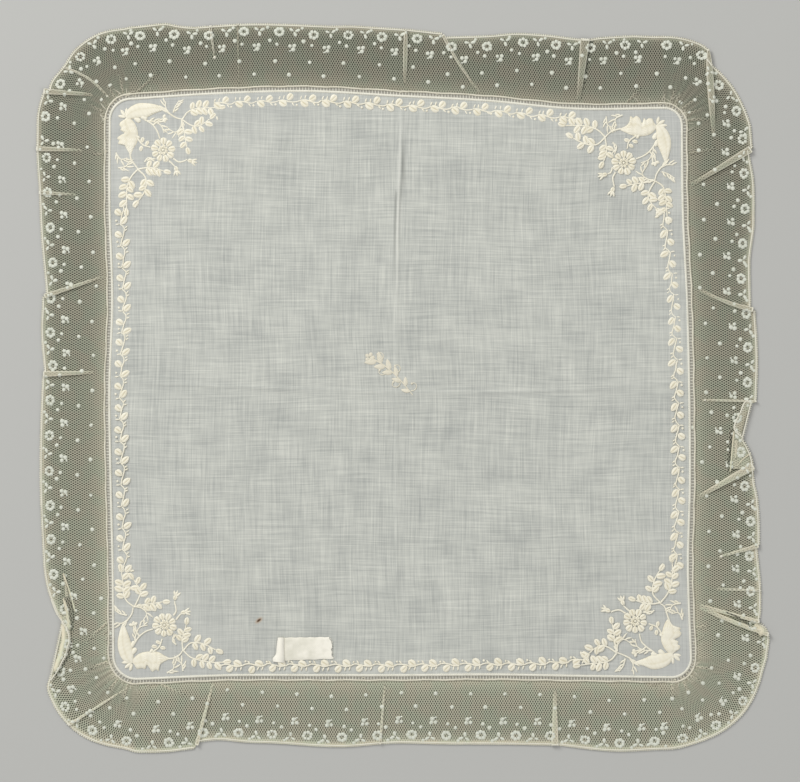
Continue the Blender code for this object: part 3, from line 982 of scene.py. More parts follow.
@dataclass
class Insertion:
    """The narrow openwork that joins hem and lace, and the heading cord that the lace hangs from."""

    hem: HemPath
    inner: float = 0.30
    outer: float = 2.75
    level: float = 0.7
    step: float = 1.6
    heading_reach: float = 2.45
    heading_width: float = 1.0

    def build(self, beading: OpenBeading, heading: StitchedThread) -> list[Object]:
        """Makes the openwork band and the heading cord.

        Args:
            beading: finish of the band.
            heading: finish of the lace's heading.

        Returns:
            The band and the heading.
        """
        rng = np.random.default_rng(5)
        places = self.hem.even_places(self.inner, self.step)
        width = self.outer - self.inner
        across = np.linspace(0, width, 6)
        run = np.arange(len(places)) * self.step
        sag = 0.12 * np.sin(pi * across / width)
        height = self.level + rng.uniform(-0.05, 0.05, (len(places), 1)) - sag
        draft = Draft()
        draft.patch(self.hem.grid(places, self.inner + across), height,
                    paired(run[:, None], across), closed=True)
        band = draft.make("insertion_band_work", beading.build(width), "beading")
        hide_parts("insertion_band")
        cord = Needlework(Ground(self.level), rng)
        round_places = np.append(self.hem.even_places(self.heading_reach, 1.1), ROUND)
        count = len(round_places)
        wander = (self.heading_reach + 0.16 * np.sin(np.arange(count) * 0.31)
                  + rng.normal(0, 0.05, count))
        wander[-1] = wander[0]
        round_places[0] = 0.0
        cord.stem(self.hem.points(round_places, wander), self.heading_width, 0.6)
        self._loops(cord, rng)
        return [band, cord.draft.make("lace_heading", heading.build(), "beading")]

    def _loops(self, cord: Needlework, rng: np.random.Generator) -> None:
        """Loose loops of the whipping thread, thick at the corners and rare along the sides."""
        for corner in range(1, ROUND, 2):
            for place in corner + np.concatenate((rng.uniform(-0.06, 1.08, 22),
                                                  rng.uniform(-0.9, 0.0, 5))):
                reach = self.heading_reach + rng.uniform(-1.4, 0.6)
                start = self.hem.points(place, reach)[0]
                angle = rng.uniform(0, tau)
                turn = angle + np.linspace(0, rng.uniform(2.2, 4.4), 7)
                radius = rng.uniform(0.45, 0.95)
                cord.stem(start + radius * ray(turn), 0.34, 0.35)
            for place in corner + np.concatenate((rng.uniform(0, 1, 18), rng.uniform(-0.05, 0, 5),
                                                  1 + rng.uniform(0, 0.05, 5))):
                self._long_thread(cord, rng, place)

    def _long_thread(self, cord: Needlework, rng: np.random.Generator, place: float) -> None:
        """A fine gathering thread that strays from the heading into the net or along it."""
        start = self.hem.points(place, self.heading_reach + rng.uniform(-0.9, 0.4))[0]
        outward = self.hem.outward(place)[0]
        way = (np.arctan2(outward[1], outward[0]) + rng.normal(0, 0.75)
               + np.linspace(0, rng.normal(0, 0.5), 6))
        step = ray(way) * rng.uniform(1.2, 6.0) / 5
        cord.stem(start + np.cumsum(step, axis=0), 0.32, 0.3, 0.6)


@dataclass
class LaceEdge:
    """The lace's outer edge: sections between pleats, with a jump of the edge at each pleat."""

    sections: tuple[Row, ...] = (
        # place, reach
        ((7.22, 36.9), (7.28, 37.4), (7.42, 36.3), (7.58, 38.4), (7.8, 39.7), (7.93, 39.4),
         (0.02, 40.3), (0.06, 40.8), (0.09, 38.8), (0.12, 37.6), (0.2, 38.1), (0.37, 36.6),
         (0.42, 37.4), (0.5, 37.4), (0.583, 36.2)),
        ((0.587, 34.0), (0.67, 36.3), (0.73, 39.3), (0.78, 39.9), (0.856, 38.8), (0.88, 39.9),
         (0.94, 40.6), (0.985, 39.9), (1.26, 40.0), (1.34, 39.1)),
        ((1.36, 34.6), (1.46, 33.0), (1.77, 34.7), (2.02, 38.6), (2.043, 39.2)),
        ((2.047, 37.0), (2.12, 40.0), (2.18, 39.6), (2.26, 36.0), (2.344, 35.2)),
        ((2.348, 37.7), (2.43, 38.4), (2.519, 37.2)),
        ((2.523, 34.7), (2.585, 28.8), (2.602, 31.6), (2.63, 34.7), (2.67, 35.8), (2.7, 37.8),
         (2.75, 39.3), (2.788, 39.7)),
        ((2.792, 38.3), (2.87, 40.3), (2.91, 39.9), (2.935, 38.5)),
        ((2.937, 39.6), (2.942, 42.1), (2.964, 43.9), (2.995, 42.4), (3.11, 40.4), (3.41, 39.8),
         (3.8, 38.6), (4.014, 40.3), (4.1, 41.7), (4.215, 38.7)),
        ((4.222, 38.9), (4.39, 38.8), (4.51, 37.8), (4.62, 39.9), (4.75, 37.8), (4.79, 37.5),
         (4.85, 35.8), (4.884, 36.5)),
        ((4.893, 40.2), (4.95, 41.4), (5.1, 39.3), (5.46, 41.3), (5.76, 40.3), (5.87, 35.7),
         (6.02, 31.1), (6.066, 28.2)),
        ((6.076, 31.2), (6.132, 36.9), (6.17, 38.4), (6.31, 39.3), (6.522, 37.3)),
        ((6.53, 36.3), (6.62, 39.2), (6.67, 38.8)),
        ((6.674, 36.6), (6.77, 38.3), (6.861, 39.0), (6.95, 40.6), (7.21, 39.3)),
    )

    def __post_init__(self) -> None:
        """Reads the sections as places that only grow, with their slopes, and joins them."""
        self.curves: list[tuple[Array, Array, Array]] = []
        for section in self.sections:
            places, reaches = np.array(section).T
            places = np.where(places < places[0], places + ROUND, places)
            self.curves.append((places, reaches, self._calm_slopes(places, reaches)))
        self.whole = self.columns(0.01)

    def _calm_slopes(self, places: Array, reaches: Array) -> Array:
        """Slopes that keep the curve between two stations from swinging past either."""
        steps = np.diff(reaches) / np.diff(places)
        slopes = [steps[0]]
        for before, after in zip(steps, steps[1:]):
            slopes.append(2 * before * after / (before + after) if before * after > 0 else 0.0)
        return np.array(slopes + [steps[-1]])

    def reach_in(self, number: int, places: Array) -> Array:
        """The edge's reach at places of one section, held at its ends."""
        knots, reaches, slopes = self.curves[number]
        places = np.clip(places, knots[0], knots[-1])
        index = np.clip(np.searchsorted(knots, places, side="right") - 1, 0, len(knots) - 2)
        width = knots[index + 1] - knots[index]
        t = (places - knots[index]) / width
        return (reaches[index] * (1 + 2 * t) * (1 - t) ** 2
                + slopes[index] * width * t * (1 - t) ** 2
                + reaches[index + 1] * (3 - 2 * t) * t ** 2
                + slopes[index + 1] * width * (t - 1) * t ** 2)

    def columns(self, step: float) -> tuple[Array, Array]:
        """Places and reaches all round, in order.

        Args:
            step: about how far apart, as a part of a stretch.

        Returns:
            The places, which grow by eight in all, and the edge's reach at each.
        """
        all_places, all_reaches = [], []
        for number, (knots, _, _) in enumerate(self.curves):
            count = max(2, round((knots[-1] - knots[0]) / step))
            places = np.linspace(knots[0], knots[-1], count)
            all_places.append(places)
            all_reaches.append(self.reach_in(number, places))
        places = np.concatenate(all_places)
        return np.unwrap(places, period=ROUND), np.concatenate(all_reaches)

    def reach(self, places: Any) -> Array:
        """The edge's reach at any places."""
        knots, reaches = self.whole
        wrapped = knots[0] + np.mod(np.atleast_1d(places) - knots[0], ROUND)
        return np.interp(wrapped, knots, reaches)


class PleatShape(Enum):
    """How a pleat's width runs from the lace edge inwards."""

    TAPER = "widest at the edge"
    SPINDLE = "widest in the middle"
    EVEN = "as wide all along"


@dataclass(frozen=True)
class Pleat:
    """A pressed fold of the lace, from its edge inwards.

    Its light says how solid the doubled net looks; its bow is how far its middle swings
    clockwise; its shade says which side gets a painted shadow: 1 the clockwise side, -1 the other.
    """

    edge: float  # place number
    heel: tuple[float, float]  # place number and reach
    width: float
    rise: float
    light: float = 0.8
    shape: PleatShape = PleatShape.TAPER
    bow: float = 0.0
    shade: int = 0
    knot: float = 0.0  # radius of the bright knot at its inner end

    def widths(self, share: Array) -> Array:
        """Its half width at shares of its length."""
        if self.shape is PleatShape.SPINDLE:
            return self.width / 2 * (0.25 + 0.75 * np.sin(pi * share ** 0.8) ** 0.8)
        if self.shape is PleatShape.EVEN:
            return np.full_like(share, self.width / 2)
        return self.width / 2 * (1 - 0.65 * share)


@dataclass
class LaceFrill:
    """The gathered net lace: its net with pleats and turned-over edges, motifs and picot edge."""

    hem: HemPath
    edge: LaceEdge
    heading: float = 2.9
    level: float = 0.45
    column_step: float = 0.008
    repeat: float = 19.5
    repeat_phase: float = -0.016
    repeat_reach: float = 33.0  # where the repeat is measured
    picot_pitch: float = 1.25
    cord_step: float = 0.006
    net_reach: float = 34.0  # where the net lies at its natural width; it is gathered inside that
    edge_band: float = 2.6  # the lace is worked more closely this near its edge
    pleats: tuple[Pleat, ...] = (
        Pleat(7.205, (7.384, 12.9), 2.8, 1.0, 0.9),
        Pleat(7.423, (7.489, 4.5), 0.8, 0.5, 1.0, PleatShape.EVEN, 2.8, knot=0.6),
        Pleat(6.947, (6.944, 15.5), 2.4, 0.9, 0.9),
        Pleat(6.865, (6.861, 18.5), 1.8, 0.8, 0.75),
        Pleat(6.672, (6.708, 4.5), 2.2, 1.0, 0.8),
        Pleat(6.526, (6.529, 8.6), 2.8, 1.0, 0.8),
        Pleat(0.148, (0.157, 18.6), 1.2, 0.8, 0.7, knot=0.9),
        Pleat(0.200, (0.202, 4.5), 0.7, 0.4, 0.3),
        Pleat(0.515, (0.513, 6.6), 2.0, 0.7, 0.75, PleatShape.SPINDLE),
        Pleat(0.585, (0.652, 4.5), 1.4, 0.9, 1.0, bow=-0.9),
        Pleat(0.851, (0.839, 4.5), 4.8, 1.2, 0.55, shade=1),
        Pleat(1.335, (2.016, 17.4), 3.4, 1.4, 0.9, PleatShape.SPINDLE),
        Pleat(2.045, (2.112, 4.5), 3.6, 1.1, 0.8),
        Pleat(2.346, (2.308, 7.0), 2.3, 1.1, 0.85, bow=1.2),
        Pleat(2.518, (2.516, 6.3), 0.8, 0.9, 0.9, PleatShape.EVEN, knot=0.6),
        Pleat(2.640, (2.698, 4.5), 4.0, 1.2, 0.9),
        Pleat(2.790, (2.811, 16.9), 1.8, 0.8, 0.75, knot=0.9),
        Pleat(2.874, (2.871, 15.8), 0.8, 0.5, 0.6, PleatShape.EVEN),
        Pleat(2.932, (2.902, 5.7), 1.5, 1.4, 1.0, PleatShape.EVEN),
        Pleat(2.956, (2.905, 6.3), 1.9, 1.5, 1.0, PleatShape.EVEN, 0.8),
        Pleat(4.218, (4.218, 8.5), 3.4, 1.0, 0.7),
        Pleat(4.545, (4.536, 4.9), 1.1, 0.6, 0.6),
        Pleat(4.888, (4.858, 4.5), 1.7, 1.0, 0.85),
        Pleat(5.494, (5.199, 6.0), 1.1, 0.7, 0.85),
    )
    turned_over: tuple[Row, ...] = (
        # place, reach of the inner line, reach of the outer line
        ((2.519, 34.0, 34.8), (2.521, 30.9, 34.6), (2.54, 28.0, 32.5), (2.555, 25.7, 30.8),
         (2.568, 24.5, 29.8), (2.585, 24.1, 28.8), (2.602, 23.6, 31.6), (2.628, 22.8, 34.7),
         (2.645, 22.4, 35.2)),
        ((5.823, 36.4, 36.6), (5.884, 31.5, 35.0), (6.001, 26.3, 32.0), (6.029, 24.0, 30.5),
         (6.051, 23.7, 29.0), (6.066, 23.4, 28.0), (6.093, 23.4, 26.6), (6.12, 25.0, 26.6),
         (6.154, 27.2, 27.6)),
    )
    turned_rise: float = 1.0
    turned_light: float = 0.33
    smooth_edge: tuple[Row, ...] = (
        # where the outline is a fold, without cord or picots
        (2.523, 2.585),
        (5.850, 6.066),
    )
    inner_cords: tuple[Row, ...] = (
        # where the lace's edge shows inside the outline: place, reach
        ((2.521, 34.8), (2.519, 30.9), (2.54, 28.0), (2.555, 25.7), (2.568, 24.5), (2.578, 26.2),
         (2.585, 28.8)),
        ((6.106, 34.5), (6.082, 31.8), (6.063, 28.2), (6.051, 25.9), (6.029, 24.3), (6.001, 26.3),
         (5.884, 31.5), (5.823, 36.6)),
    )
    bands: tuple[Row, ...] = (
        # knots (place, reach), width at either end, tone; a tone below 0 makes the band a painted
        # shadow
        (((2.574, 24.4), (2.61, 23.3), (2.651, 22.2)), 1.0, 1.0, 1.0),
        (((2.57, 22.9), (2.61, 21.9), (2.648, 21.0)), 2.8, 1.8, -0.65),
        (((2.59, 25.6), (2.606, 25.6), (2.626, 25.0)), 2.2, 1.6, 0.6),
        (((2.616, 33.6), (2.628, 29.0), (2.64, 26.0)), 0.8, 0.6, 0.9),
        (((2.914, 20.0), (2.926, 28.5), (2.942, 33.2)), 1.1, 2.4, -0.8),
        (((2.936, 36.2), (2.943, 38.6), (2.957, 40.6)), 3.6, 4.6, 0.75),
        (((6.154, 27.4), (6.118, 24.0), (6.082, 21.0)), 1.2, 0.9, 1.0),
        (((6.11, 25.4), (6.08, 23.8), (6.046, 22.6)), 3.2, 2.2, -0.6),
        (((6.108, 27.4), (6.08, 25.4), (6.05, 24.4)), 1.6, 2.4, 0.7),
        (((6.03, 22.9), (6.002, 24.6), (5.9, 29.6), (5.85, 34.0)), 2.2, 2.2, -0.65),
        (((6.06, 28.0), (6.03, 27.4), (6.0, 29.2), (5.88, 33.4)), 2.4, 2.6, 1.0),
    )
    gathers: tuple[Row, ...] = (
        # corner's place number, how many, reach where they end, width, rise
        (1, 7, 17.0, 1.4, 0.5),
        (3, 5, 14.0, 1.2, 0.4),
        (5, 6, 16.0, 1.2, 0.4),
        (7, 6, 15.0, 1.2, 0.4),
    )

    def __post_init__(self) -> None:
        """Works out the folds."""
        self.fold_lines = [self._pleat_line(pleat) for pleat in self.pleats]
        self.gather_lines = self._gather_lines()
        strips = [FoldStrip(line[:, :2], line[:, 2], line[:, 3])
                  for line in (*self.fold_lines, *self.gather_lines)]
        for rows in self.turned_over:
            places, inner, outer = smooth_line(rows, 4).T
            strips.append(FoldStrip(self.hem.points(places, (inner + outer) / 2),
                                    (outer - inner) / 2, np.full(len(places), self.turned_rise)))
        self.ground = Ground(self.level, strips)

    def _pleat_line(self, pleat: Pleat) -> Array:
        """A pleat from the lace edge inwards: x, y, half width, rise and tone at each point."""
        start = self.hem.points(pleat.edge, self.edge.reach(pleat.edge) - 0.3)[0]
        end = self.hem.points(*pleat.heel)[0]
        share = np.linspace(0, 1, 15)
        step = end - start
        aside = np.array((-step[1], step[0])) / hypot(*step)
        line = start + step * share[:, None] + pleat.bow * np.sin(pi * share)[:, None] * aside
        fade = np.clip((1 - share) / 0.4, 0, 1)
        tone = pleat.light * (0.35 + 0.65 * fade)
        return np.column_stack((line, pleat.widths(share), pleat.rise * fade, tone))

    def _gather_lines(self) -> list[Array]:
        """The small gathers that fan out at each corner, uneven in length."""
        rng = np.random.default_rng(8)
        lines = []
        for corner, count, end_reach, width, rise in self.gathers:
            shares = (np.arange(count) + 0.5 + rng.uniform(-0.2, 0.2, count)) / count
            for share in shares * 1.3 - 0.15:
                place = corner + share + np.linspace(0, rng.normal(0, 0.03), 7)
                reach = np.linspace(self.heading + 0.4, end_reach * rng.uniform(0.6, 1.1), 7)
                fade = np.linspace(1, 0, 7)
                lines.append(np.column_stack((self.hem.points(place, reach),
                                              width / 2 * (1 - 0.5 * fade), rise * fade,
                                              0.45 * fade)))
        return lines

    def build(self, net: NetGround, cloth_thread: StitchedThread,
              cord: StitchedThread) -> list[Object]:
        """Makes every piece of the frill.

        Args:
            net: the net ground.
            cloth_thread: the dense threads of the motifs.
            cord: the outer edge and the fold lines.

        Returns:
            The net first.
        """
        sheet = self._net(net)
        motifs = self._motifs(cloth_thread)
        edge = self._picot_edge(cord)
        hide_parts("lace_frill")
        # The edging is cut as one strip, as long as its outer edge and gathered along the heading.
        places, reaches = self.edge.columns(self.column_step)
        rim = self.hem.points(places, reaches)
        return [sheet, motifs, edge]

    def _net(self, finish: NetGround) -> Object:
        """The net: one sheet all round, with the doubled layers of its folds on it."""
        draft = Draft()
        places, reaches = self.edge.columns(self.column_step)
        places = np.append(places, places[0] + ROUND)
        reaches = np.append(reaches, reaches[0])
        shares = np.array((0.0, 0.05, 0.12, 0.22, 0.34, 0.46, 0.58, 0.7, 0.82, 0.92, 0.95, 1.0))
        across = self.heading + (reaches[:, None] - self.heading) * shares
        run = self.hem.lengths(places, self.net_reach)
        height = self.level + self._ripple(places, across)
        close = np.clip(1.25 - (reaches[:, None] - across) / self.edge_band, 0, 1) * 0.55
        gathered = 0.22 * np.exp(-(across - self.heading) / 4.0)
        draft.patch(self.hem.grid(places, across), height, paired(run[:, None], across),
                    np.maximum(close, gathered))
        for pleat, line in zip(self.pleats, self.fold_lines):
            self._fold_layers(draft, line, pleat.shade)
        for line in self.gather_lines:
            self._fold_layers(draft, line, 0)
        for rows in self.turned_over:
            self._turned_layer(draft, rows)
        for band in self.bands:
            self._band(draft, *band)
        return draft.make("lace_net", finish.build(), "net_lace")

    def _ripple(self, places: Array, across: Array) -> Array:
        """The soft waves of the gathered net, strongest near the corners' heading."""
        place = np.mod(places, 2.0)
        corner = np.exp(-((place - 1.5) / 0.45) ** 2)[:, None]
        fade = np.exp(-np.clip(across - self.heading, 0, None) / 14)
        fine = np.sin(places * tau * 11)[:, None]
        slow = np.sin(places * tau * 2.3)[:, None] + np.sin(places * tau * 3.7 + 1)[:, None]
        return np.clip(0.30 * corner * fade * (1 + fine)
                       + 0.07 * (slow + 2) * (across - self.heading) / 36, 0, None)

    def _ribbon(self, draft: Draft, line: Array, offset: Array, height: Any, tone: Any) -> None:
        """Adds a strip of net along a line, by its offsets to the left."""
        offset, height, tone = np.broadcast_arrays(offset, height, tone)
        draft.patch(swept(line, offset), height, paired(offset, run_of(line)[:, None]), tone)

    def _fold_layers(self, draft: Draft, line: Array, shade: int) -> None:
        """Adds a fold's upper layer, raised and lighter at its borders, and its painted shadow, a
        strip of net darkened beside it.
        """
        half, rise, light = line[:, 2:3], line[:, 3:4], line[:, 4:5]
        side = np.array((-1, -1, -0.6, 0, 0.6, 1, 1))
        lift = np.array((0, 1, 1.08, 1.1, 1.08, 1, 0))
        glow = np.array((0.9, 1.0, 0.5, 0.42, 0.5, 1.0, 0.9))
        spread = np.array((-0.3, 0, 0, 0, 0, 0, 0.3))
        self._ribbon(draft, line[:, :2], half * side + spread, self.level + 0.14 + rise * lift,
                     light * glow)
        # Painted shadow: a strip of net with a tone below 0 along the side that lies in shade.
        if shade:
            away = shade * np.array((0.1, 0.5, 1.3, 2.6))
            dark = np.array((-1.0, -0.9, -0.5, 0.0))
            dim = np.linspace(1, 0.2, len(line))[:, None]
            self._ribbon(draft, line[:, :2], shade * half + away * dim, self.level + 0.2,
                         dark * dim)

    def _band(self, draft: Draft, knots: Row, start_width: float, end_width: float,
              tone: float) -> None:
        """Adds a bright crease, or a painted shadow beside one as a darkened strip of net, softer at
        its ends.
        """
        line = self.hem.points(*smooth_line(knots, 6).T)
        half = np.linspace(start_width, end_width, len(line))[:, None] / 2
        side = np.array((-1.0, -0.5, 0.0, 0.5, 1.0))
        soft = np.clip(3 * np.sin(pi * np.linspace(0.04, 0.96, len(line))), 0, 1)[:, None]
        height = self.ground.height(line)[:, None] + 0.35 * (1 - side ** 2) + 0.15
        # A painted shadow lies a little lower than a bright crease.
        if tone < 0:
            height = height - 0.1
        edge = 1 - (0.6 if tone > 0 else 1.0) * np.abs(side) ** 2
        self._ribbon(draft, line, half * side, height, tone * soft * edge)

    def _turned_layer(self, draft: Draft, rows: Row) -> None:
        """Adds a turned-over stretch: a layer that bends back in from the outline."""
        places, inner, outer = smooth_line(rows, 6).T
        shares = np.array((0.0, 0.0, 0.35, 0.7, 1.0, 1.0))
        lifts = np.array((0.15, 0.9, 1.0, 1.0, 0.8, 0.1))
        glow = np.array((0.8, 1.0, 0.8, 0.8, 1.0, 1.0))
        across = inner[:, None] + (outer - inner)[:, None] * shares
        run = self.hem.lengths(places, self.net_reach)
        height = self.level + 0.1 + np.broadcast_to(self.turned_rise * lifts, across.shape)
        draft.patch(self.hem.grid(places, across), height, paired(run[:, None], -across),
                    self.turned_light * glow)

    def _spot(self, place: float, along: float, depth: float) -> tuple[Array, float]:
        """A point clockwise of a place and inside the lace edge, and the clockwise angle there."""
        here = place + along / self.place_length(place)
        reach = float(self.edge.reach(here)[0]) - depth
        return self.hem.points(here, reach)[0], self.hem.clockwise(here)

    def place_length(self, place: float) -> float:
        """How long one place number is at the lace edge here."""
        near = self.hem.points((place - 0.01, place + 0.01), self.net_reach)
        return float(np.hypot(*(near[1] - near[0]))) / 0.02

    def _motifs(self, finish: StitchedThread) -> Object:
        """The lace's repeat all round: rosette, edge sprig, trefoil sprig and dots."""
        rng = np.random.default_rng(21)
        work = Needlework(Ground(self.level + 0.1, self.ground.strips), rng)
        for place in self.hem.even_places(self.repeat_reach, self.repeat) + self.repeat_phase:
            sway = rng.normal(0, 0.3, 2)
            self._rosette(work, *self._spot(place, sway[0], 5.1 + sway[1]))
            self._edge_sprig(work, *self._spot(place, 9.3 + sway[1], 4.3))
            self._trefoil(work, *self._spot(place, 7.2 + sway[0], 13.0))
            for along, depth, radius in ((-6.4, 2.0, 0.95), (-5.0, 9.3, 1.15), (-1.0, 11.4, 1.05),
                                         (-2.6, 20.9, 1.15), (5.9, 28.3, 1.15)):
                spot, _ = self._spot(place, along + rng.normal(0, 0.25), depth)
                work.dot(spot, radius * rng.uniform(0.9, 1.12), 0.3, 7)
        return work.draft.make("lace_motifs", finish.build(), "net_lace")

    def _rosette(self, work: Needlework, centre: Array, angle: float) -> None:
        """A rosette of seven uneven petals round an open oval middle."""
        petals = 7
        start = work.rng.uniform(0, 1)
        for number in range(petals):
            way = tau * (number + start) / petals
            base = centre + turned(ray(way) * (1.05, 0.75), angle)
            work.leaf(base, angle + way, work.rng.uniform(1.9, 2.35), work.rng.uniform(1.9, 2.3),
                      rise=0.32, blunt=0.3, thread=Thread.SATIN, rows=4)

    def _edge_sprig(self, work: Needlework, centre: Array, angle: float) -> None:
        """Three small leaves on one twig, just inside the edge."""
        leaves = ((-0.2, 0.2, -78, 3.0, 1.8), (0.3, 0.3, 28, 3.2, 1.7), (-0.3, 0.5, 152, 2.9, 1.5))
        for along, out, degrees, length, width in leaves:
            base = centre + turned(np.array((along, out)), angle)
            work.leaf(base, angle + radians(degrees + work.rng.normal(0, 7)), length, width,
                      rise=0.32, blunt=0.35, thread=Thread.SATIN, rows=5)

    def _trefoil(self, work: Needlework, centre: Array, angle: float) -> None:
        """Three round leaves that touch, on a short stem."""
        stem = np.array(((-1.9, -1.9), (-1.2, -2.0), (-0.4, -1.5), (0.1, -0.8)))
        work.stem(centre + turned(stem, angle), 0.8, 0.28)
        for along, out, radius in ((-1.3, 0.8, 1.1), (1.1, 1.0, 1.2), (0.5, -1.1, 1.2)):
            spot = centre + turned(np.array((along, out)), angle)
            work.dot(spot, radius * work.rng.uniform(0.92, 1.1), 0.32, 7)

    def _edge_runs(self) -> list[Array]:
        """The stretches of the outline that carry cord and picots: places and reaches."""
        runs = []
        for number, (knots, _, _) in enumerate(self.edge.curves):
            count = max(3, round((knots[-1] - knots[0]) / self.cord_step))
            places = np.linspace(knots[0], knots[-1], count)
            wrapped = np.mod(places, ROUND)
            keep = np.ones(count, bool)
            for low, high in self.smooth_edge:
                keep &= ~((wrapped > low) & (wrapped < high))
            kept = places[keep]
            if len(kept) > 2:
                runs.append(np.column_stack((kept, self.edge.reach_in(number, kept))))
        return runs

    def _picot_edge(self, finish: StitchedThread) -> Object:
        """The cream cord along the edge with its picots, and the bright lines of the folds."""
        rng = np.random.default_rng(4)
        work = Needlework(Ground(self.level + 0.1, self.ground.strips), rng)
        for run in self._edge_runs():
            line = self.hem.points(run[:, 0], run[:, 1] - 0.75)
            work.stem(line, 0.75, 0.4)
            self._picots(work, line)
        for rows in self.inner_cords:
            line = self.hem.points(*smooth_line(rows, 6).T)
            work.stem(line, 0.85, 0.5)
            self._picots(work, line)
        for pleat, line in zip(self.pleats, self.fold_lines):
            side = left_of(line[:, :2])
            if pleat.light > 0.5:
                for sign in (-1, 1):
                    work.stem(line[:-3, :2] + sign * side[:-3] * line[:-3, 2:3], 0.36, 0.2, 0.4)
            across = np.linspace(-1, 1, 5)[:, None] * line[0, 2] * side[0]
            work.stem(line[0, :2] + across, 0.9, 0.4)
            if pleat.knot:
                work.dot(line[-2, :2], pleat.knot, 0.4, 7)
        return work.draft.make("lace_picot_edge", finish.build(), "net_lace")

    def _picots(self, work: Needlework, line: Array) -> None:
        """Tiny loops along the outside of a cord."""
        run = run_of(line)
        for at in np.arange(0.6, run[-1], self.picot_pitch):
            here = line_at(line, run, at)
            ahead = line_at(line, run, at + 0.5) - here
            length = hypot(*ahead)
            if length < 1e-6:
                continue
            outward = np.array((-ahead[1], ahead[0])) / length
            angle = float(np.arctan2(outward[1], outward[0]))
            work.leaf(here + 0.2 * outward, angle, work.rng.uniform(0.85, 1.15), 0.68, rise=0.25,
                      blunt=0.3, thread=Thread.SATIN, rows=3)


@dataclass(frozen=True)
class VineUnit:
    """One repeat of the vine: its stem, two leaves, small ticks and a dot, run by reach."""

    reach: float  # middle of the outward leaves
    stem_width: float
    stem: tuple[Row, ...]
    leaves: tuple[Row, ...]  # along, out, side, degrees, spread, length, width, bluntness
    ticks: tuple[Row, ...]  # along, out, side, degrees, spread, length, width, rise
    dot: Row  # along, out, largest radius, rise


@dataclass
class VineBorder:
    """The vine inside the hem, between the corner sprays.

    Along the top and the bottom it runs in scallops; along the other two sides in a zigzag that
    drifts inwards and turns back out.
    """

    hem: HemPath
    period: float = 12.4
    corner_clear: float = 0.155  # share of a side that a corner spray takes up
    # Where the vine leans in to meet a spray: the place, how far in and over what share of a side.
    lean_in: tuple[Row, ...] = ((2.155, 4.3, 0.14), (4.155, 5.0, 0.05))
    scallop: VineUnit = VineUnit(
        -3.7, 0.85,
        ((-7.2, -1.9), (-4.4, -1.5), (-1.9, -2.1), (0.6, -2.7), (3.0, -2.8), (5.2, -1.9)),
        ((-1.8, -1.9, 1, 44, 6, 4.7, 3.8, 0.42), (-7.0, -1.8, -1, 37, 7, 5.3, 3.9, 0.5)),
        ((-6.9, -1.4, 1, 72, 6, 2.5, 0.95, 0.36), (-4.3, -1.3, 1, 72, 6, 2.6, 0.95, 0.36),
         (0.4, -2.8, -1, 48, 6, 2.6, 0.9, 0.34)),
        (3.4, -4.2, 0.8, 0.36))
    zigzag: VineUnit = VineUnit(
        -4.9, 0.8,
        ((-6.3, -1.1), (-3.6, -1.7), (-1.1, -2.3), (1.4, -3.1), (3.3, -3.3), (5.0, -2.3),
         (6.1, -1.1)),
        ((-1.3, -1.9, 1, 50, 6, 4.7, 3.8, 0.42), (-6.5, -2.0, -1, 44, 6, 5.6, 3.5, 0.65)),
        ((-6.3, -1.0, 1, 94, 8, 2.7, 0.85, 0.34), (2.0, -3.3, 1, -58, 8, 2.2, 0.85, 0.34),
         (3.7, -3.3, 1, -52, 8, 2.1, 0.85, 0.34)),
        (-4.2, 0.9, 0.75, 0.34))

    def stitch(self, work: Needlework) -> None:
        """Stitches the vine along all four sides."""
        for side in range(0, ROUND, 2):
            fine = np.linspace(side + self.corner_clear, side + 1 - self.corner_clear, 700)
            run = self.hem.lengths(fine, self.scallop.reach)
            count = round(run[-1] / self.period)
            unit = self.scallop if side % 4 == 0 else self.zigzag
            for number in range(count):
                self._repeat(work, unit, fine, run, (number + 0.55) * run[-1] / count,
                             run[-1] / count)

    def _repeat(self, work: Needlework, unit: VineUnit, fine: Array, run: Array, middle: float,
                period: float) -> None:
        """Stitches one repeat round its outward leaf, each part a little off its place."""
        rng = work.rng

        def at(along: float, out: float) -> Array:
            """A point by its run from the outward leaf and its distance outward of it."""
            place = np.interp(middle + along * period / self.period, run, fine)
            lean = sum(far * np.exp(-abs(place - start) / share)
                       for start, far, share in self.lean_in)
            return self.hem.points(place, unit.reach + out - lean)[0] + rng.normal(0, 0.13, 2)

        clockwise = self.hem.clockwise(np.interp(middle, run, fine))
        work.stem(smooth_line([at(*knot) for knot in unit.stem], 4), unit.stem_width, 0.36, 0.9)
        for along, out, side, degrees, spread, length, width, blunt in unit.leaves:
            work.leaf(at(along, out), clockwise + side * radians(rng.normal(degrees, spread)),
                      length, width, blunt=blunt)
        for along, out, side, degrees, spread, length, width, rise in unit.ticks:
            work.leaf(at(along, out), clockwise + side * radians(rng.normal(degrees, spread)),
                      length, width, rise=rise, blunt=0.6, thread=Thread.SATIN, rows=4)
        along, out, radius, rise = unit.dot
        work.dot(at(along, out), rng.uniform(0.6, radius), rise, 7)


@dataclass
class CornerPlace:
    """A corner of the panel: where the hem lines would cross, and the ways along both sides."""

    tip: Array
    along: Array
    back: Array
    rng: np.random.Generator

    def at(self, point: Any) -> Array:
        """A point by its distances along the next side and back along the last, hand-moved."""
        return (self.tip + self.along * point[0] + self.back * point[1]
                + self.rng.normal(0, 0.18, 2))

    def each(self, knots: Row) -> list[Array]:
        """Several points in order."""
        return [self.at(knot) for knot in knots]

    def way(self, point: Any) -> float:
        """The angle of a direction given by its parts along and back."""
        vector = self.along * point[0] + self.back * point[1]
        return float(np.arctan2(vector[1], vector[0])) + self.rng.normal(0, 0.05)


